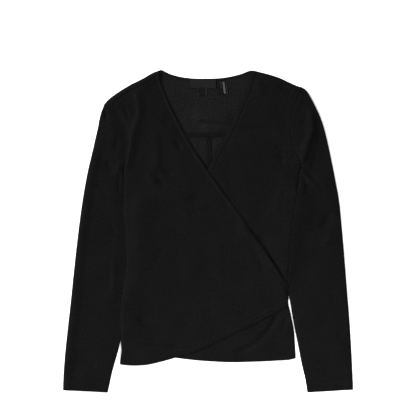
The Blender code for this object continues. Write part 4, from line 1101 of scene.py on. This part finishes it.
def makeBand(name, seam, edge, lift, facesUp, node):
    share = lengths(seam) / lengths(seam)[-1]
    free = pointsAt(edge, share * lengths(edge)[-1])
    u = np.array(bandForm["across"])[None, :, None]
    plan = (1 - u) * seam[:, None] + u * free[:, None]
    grid = lift(plan)
    dip = np.array(bandForm["dip"]) * bandForm["proud"]
    grid[..., 2] -= dip if facesUp else -dip
    grid = partSeams(grid, ("left",), gap=bandForm["seamClear"])
    along = np.repeat(lengths(seam)[:, None], len(bandForm["across"]), axis=1)
    acrossBand = np.array(bandForm["across"])[None] * seamPlan["band"] + 0 * along
    return clothPiece(name, [(grid, facesUp, np.stack([acrossBand, along], axis=-1))], node,
                      ("binding", "crepeInside"), bandForm["wall"])


def bandSteps(line, start, stop):
    total = lengths(line)[-1]
    return np.linspace(start, total - stop, int(total / bandForm["step"]))


def makeBands():
    pieces = []
    c, extra = curves, seamPlan["runOn"]
    for name, wrap, fold, piece, node in (
            ("bandOver", "wrapOver", "sideLeft", "over", "band_over"),
            ("bandUnder", "wrapUnder", "sideRightIn", "under", "band_under")):
        edge = runOn(c[wrap], extra)
        stop = bandForm["stop"][piece]
        edge = cutLine(edge, extra, crossingOf(edge, c[fold]) - stop)
        steps = bandSteps(seams[wrap], 0.0, stop)[1:]
        along = np.unique(np.concatenate([[0.0], lay["rollSteps"][:4], steps]))
        pieces.append(makeBand(
            name, pointsAt(seams[wrap], along), edge,
            lambda plan: liftTop(plan, piece, bandForm["lip"], bandForm["proud"]), True, node))
    neck = seams["neckBack"]
    stop = bandForm["stop"]["back"]
    edge = cutLine(c["neckBack"], stop, lengths(c["neckBack"])[-1] - stop)
    pieces.append(makeBand("bandBack", pointsAt(neck, bandSteps(neck, stop, stop)), edge,
                           lambda plan: liftBottom(plan, bandForm["lip"]), False, "band_back"))
    return pieces


yoke = makeYoke()
backRight, backLeft = makeBack("Right"), makeBack("Left")
print("back made")
frontUnder, frontOver = makeFront("under"), makeFront("over")
print("fronts made")
sleeveRight, sleeveLeft = makeSleeve("Right"), makeSleeve("Left")
print("sleeves made")
bandOver, bandUnder, bandBack = makeBands()
print("bindings made")


def innerHeight(x, y):
    # upper side of the back's cloth, as seen in the neck opening
    plan = np.stack([np.asarray(x, float), np.asarray(y, float)], axis=-1)
    return liftBottom(plan, 0.0)[..., 2] + lay["cloth"]


# "above" is a label's height over the back, "grid" its points across and down, and "edge"
# where the tab's pale edge strip, a painted highlight, starts and ends, from its right side on
labelForm = {
    "neck": {"left": -38.0, "right": 16.5, "top": 318.6, "bottom": 300.4, "wall": 0.45,
             "above": (1.35, 1.25, 0.75, 0.5, 0.35, 0.3), "rows": (0, 0.12, 0.3, 0.42, 0.6, 1.0),
             "grid": (29, 15), "curl": 0.5, "curlPower": 6},
    "size": {"left": -17.5, "right": -4.8, "top": 301.2, "bottom": 285.4, "wall": 0.8,
             "above": 0.3, "grid": (9, 9), "edge": (0.05, 2.0), "edgeAbove": 0.4, "edgeWall": 0.7},
    "care": {"left": 21.0, "wall": 0.4, "grid": (5, 12), "bulge": 0.35, "apart": 0.25,
             "edgeGap": 0.05},
}
# right edge at the top, its lean, top, bottom, height, and the pale edge strip's width and look;
# the pale strip is a painted highlight
careRows = [(39.4, 2.4, 309.0, 286.5, 0.35, 1.9, "cutEdgeHighlight"),
            (34.4, 3.2, 313.0, 288.5, 1.15, 4.2, "foldHighlight"),
            (27.2, 2.1, 314.5, 299.5, 1.95, 1.9, "cutEdgeHighlight")]


def labelSheet(name, x, y, above, wall, look, node=None):
    x, y = np.broadcast_arrays(np.asarray(x, float), y[:, None])
    grid = np.stack([x, y, innerHeight(x, y) + above + wall], axis=-1)
    return clothPiece(name, [(grid, True)], node, (look,), wall)


def makeLabels():
    # the neck label lies over the binding at its top; its lower corners lift a little
    form = labelForm["neck"]
    x = np.linspace(form["left"], form["right"], form["grid"][0])
    down = np.linspace(0, 1, form["grid"][1])
    fromMiddle = np.abs(np.linspace(-1, 1, form["grid"][0]))
    above = (np.interp(down, form["rows"], form["above"])[:, None]
             + form["curl"] * fromMiddle ** form["curlPower"] * down[:, None])
    y = form["top"] + down * (form["bottom"] - form["top"])
    neck = labelSheet("neckLabel", x, y, above, form["wall"], "satin", "neck_label")
    form = labelForm["size"]
    x = np.linspace(form["left"], form["right"], form["grid"][0])
    y = np.linspace(form["top"], form["bottom"], form["grid"][1])
    tab = labelSheet("sizeTab", x, y, form["above"], form["wall"], "label", "size_tab")
    # the tab's right edge is a pale strip: painted highlight
    edges, leaves = [labelSheet("sizeTabEdgeHighlight", form["right"] + np.array(form["edge"]), y,
                                form["edgeAbove"], form["edgeWall"], "cutEdgeHighlight")], []
    form = labelForm["care"]
    down = np.linspace(0, 1, form["grid"][1])
    for n, (right, lean, top, bottom, above, pale, highlightLook) in enumerate(careRows):
        # the leaves hang from one end and lean apart; their right edges are pale strips, painted
        # highlights
        number = str(len(careRows) - n)
        side, y = right + lean * down, top + down * (bottom - top)
        above = above + form["bulge"] * np.sin(np.pi * down) + form["apart"] * n * down
        for made, name, near, far, look, node in (
                (leaves, "careLeaf", form["left"] + 0 * down, side - pale, "label",
                 "care_leaf_" + number),
                (edges, "careLeafEdgeHighlight", side - pale + form["edgeGap"], side, highlightLook, None)):
            x = np.linspace(near, far, form["grid"][0], axis=1)
            made.append(labelSheet(name + number, x, y, above[:, None], form["wall"], look, node))
    return neck, tab, leaves, edges


neckLabel, sizeTab, careLeaves, labelHighlightStrips = makeLabels()
print("labels made:", 2 + len(careLeaves))

stitchForm = {"length": 2.4, "thick": 0.55, "step": 3.2, "sink": 0.1, "reach": 0.4}
# rows of stitches by the piece they are on: name, line, distance to its left, how much stays
# free at its start and end, and the height over the cloth
stitchRows = {
    "over": [("hemStitchOver", curves["hemOver"], hemForm["over"], 3, 4, 0.0),
             ("bandStitchOver", seams["wrapOver"], -0.9, 12, 4, 0.05)],
    "under": [("hemStitchUnder", curves["hemUnder"], hemForm["under"], 175, 3, 0.0),
              ("bandStitchUnder", seams["wrapUnder"], 0.9, 6, 12, 0.05)],
    "Right": [("cuffStitchRight", curves["cuffRight"], hemForm["sleeve"], 2.5, 8, 0.0)],
    "Left": [("cuffStitchLeft", curves["cuffLeft"], -hemForm["sleeve"], 2.5, 8, 0.0)],
}
# a loose thread end hangs on each cuff's stitching
threadEnds = {"x": 234.8, "top": -279.3, "length": 8.0, "thick": 0.8}


def stitchRow(name, line, piece, above=0.0, look="thread", form=stitchForm):
    # one stitch is modelled, then copied along the line and joined into one mesh
    def height(places):
        return liftTop(places, piece)[..., 2] + above

    deselectAll()
    bpy.ops.mesh.primitive_ico_sphere_add(subdivisions=1, radius=0.5)
    one = bpy.context.object
    knot = np.array([v.co[:] for v in one.data.vertices])
    corners = np.array([p.vertices[:] for p in one.data.polygons])
    bpy.data.objects.remove(one)
    middles = np.arange(form["step"] / 2, lengths(line)[-1], form["step"])
    spots, reach = pointsAt(line, middles), form["reach"]
    heading = pointsAt(line, middles + reach) - pointsAt(line, middles - reach)
    heading = heading / np.linalg.norm(heading, axis=1)[:, None]
    slope = (height(spots + heading) - height(spots - heading)) / 2
    rise = height(spots) - form["sink"]
    points, faces = [], []
    for n, (spot, way, tilt, z) in enumerate(zip(spots, heading, slope, rise)):
        along, across = knot[:, :1] * form["length"], knot[:, 1:2] * form["thick"]
        flat = spot + along * way + across * np.array([-way[1], way[0]])
        up = z + along[:, 0] * tilt + knot[:, 2] * form["thick"]
        points.append(np.column_stack([flat, up]))
        faces.append(corners + n * len(knot))
    mesh = bpy.data.meshes.new(name)
    mesh.from_pydata((np.vstack(points) * mm).tolist(), [], np.vstack(faces).tolist())
    mesh.uv_layers.new(name="cloth")
    mesh.materials.append(materials[look])
    mesh.shade_smooth()
    stitch = bpy.data.objects.new(name, mesh)
    scene.collection.objects.link(stitch)
    return finishPiece(stitch, None)


def makeStitches():
    made = {}
    endForm = dict(stitchForm, **threadEnds, step=threadEnds["length"])
    for owner, rows in stitchRows.items():
        hand = {"Right": -1.0, "Left": 1.0}.get(owner)  # the side that a sleeve lies on
        piece = "sleeve" if hand else owner
        made[owner] = []
        for name, line, distance, start, end, above in rows:
            moved = line + distance * leftSides(line)
            moved = cutLine(moved, start, lengths(moved)[-1] - end)
            made[owner].append(stitchRow(name, moved, piece, above))
        if hand:
            x, top = hand * threadEnds["x"], threadEnds["top"]
            line = np.array([(x, top), (x, top - threadEnds["length"])])
            made[owner].append(stitchRow("threadEnd" + owner, line, piece, 0.0, "paleThread",
                                         endForm))
    return made


stitches = makeStitches()
print("stitches made:", sum(len(row) for row in stitches.values()))
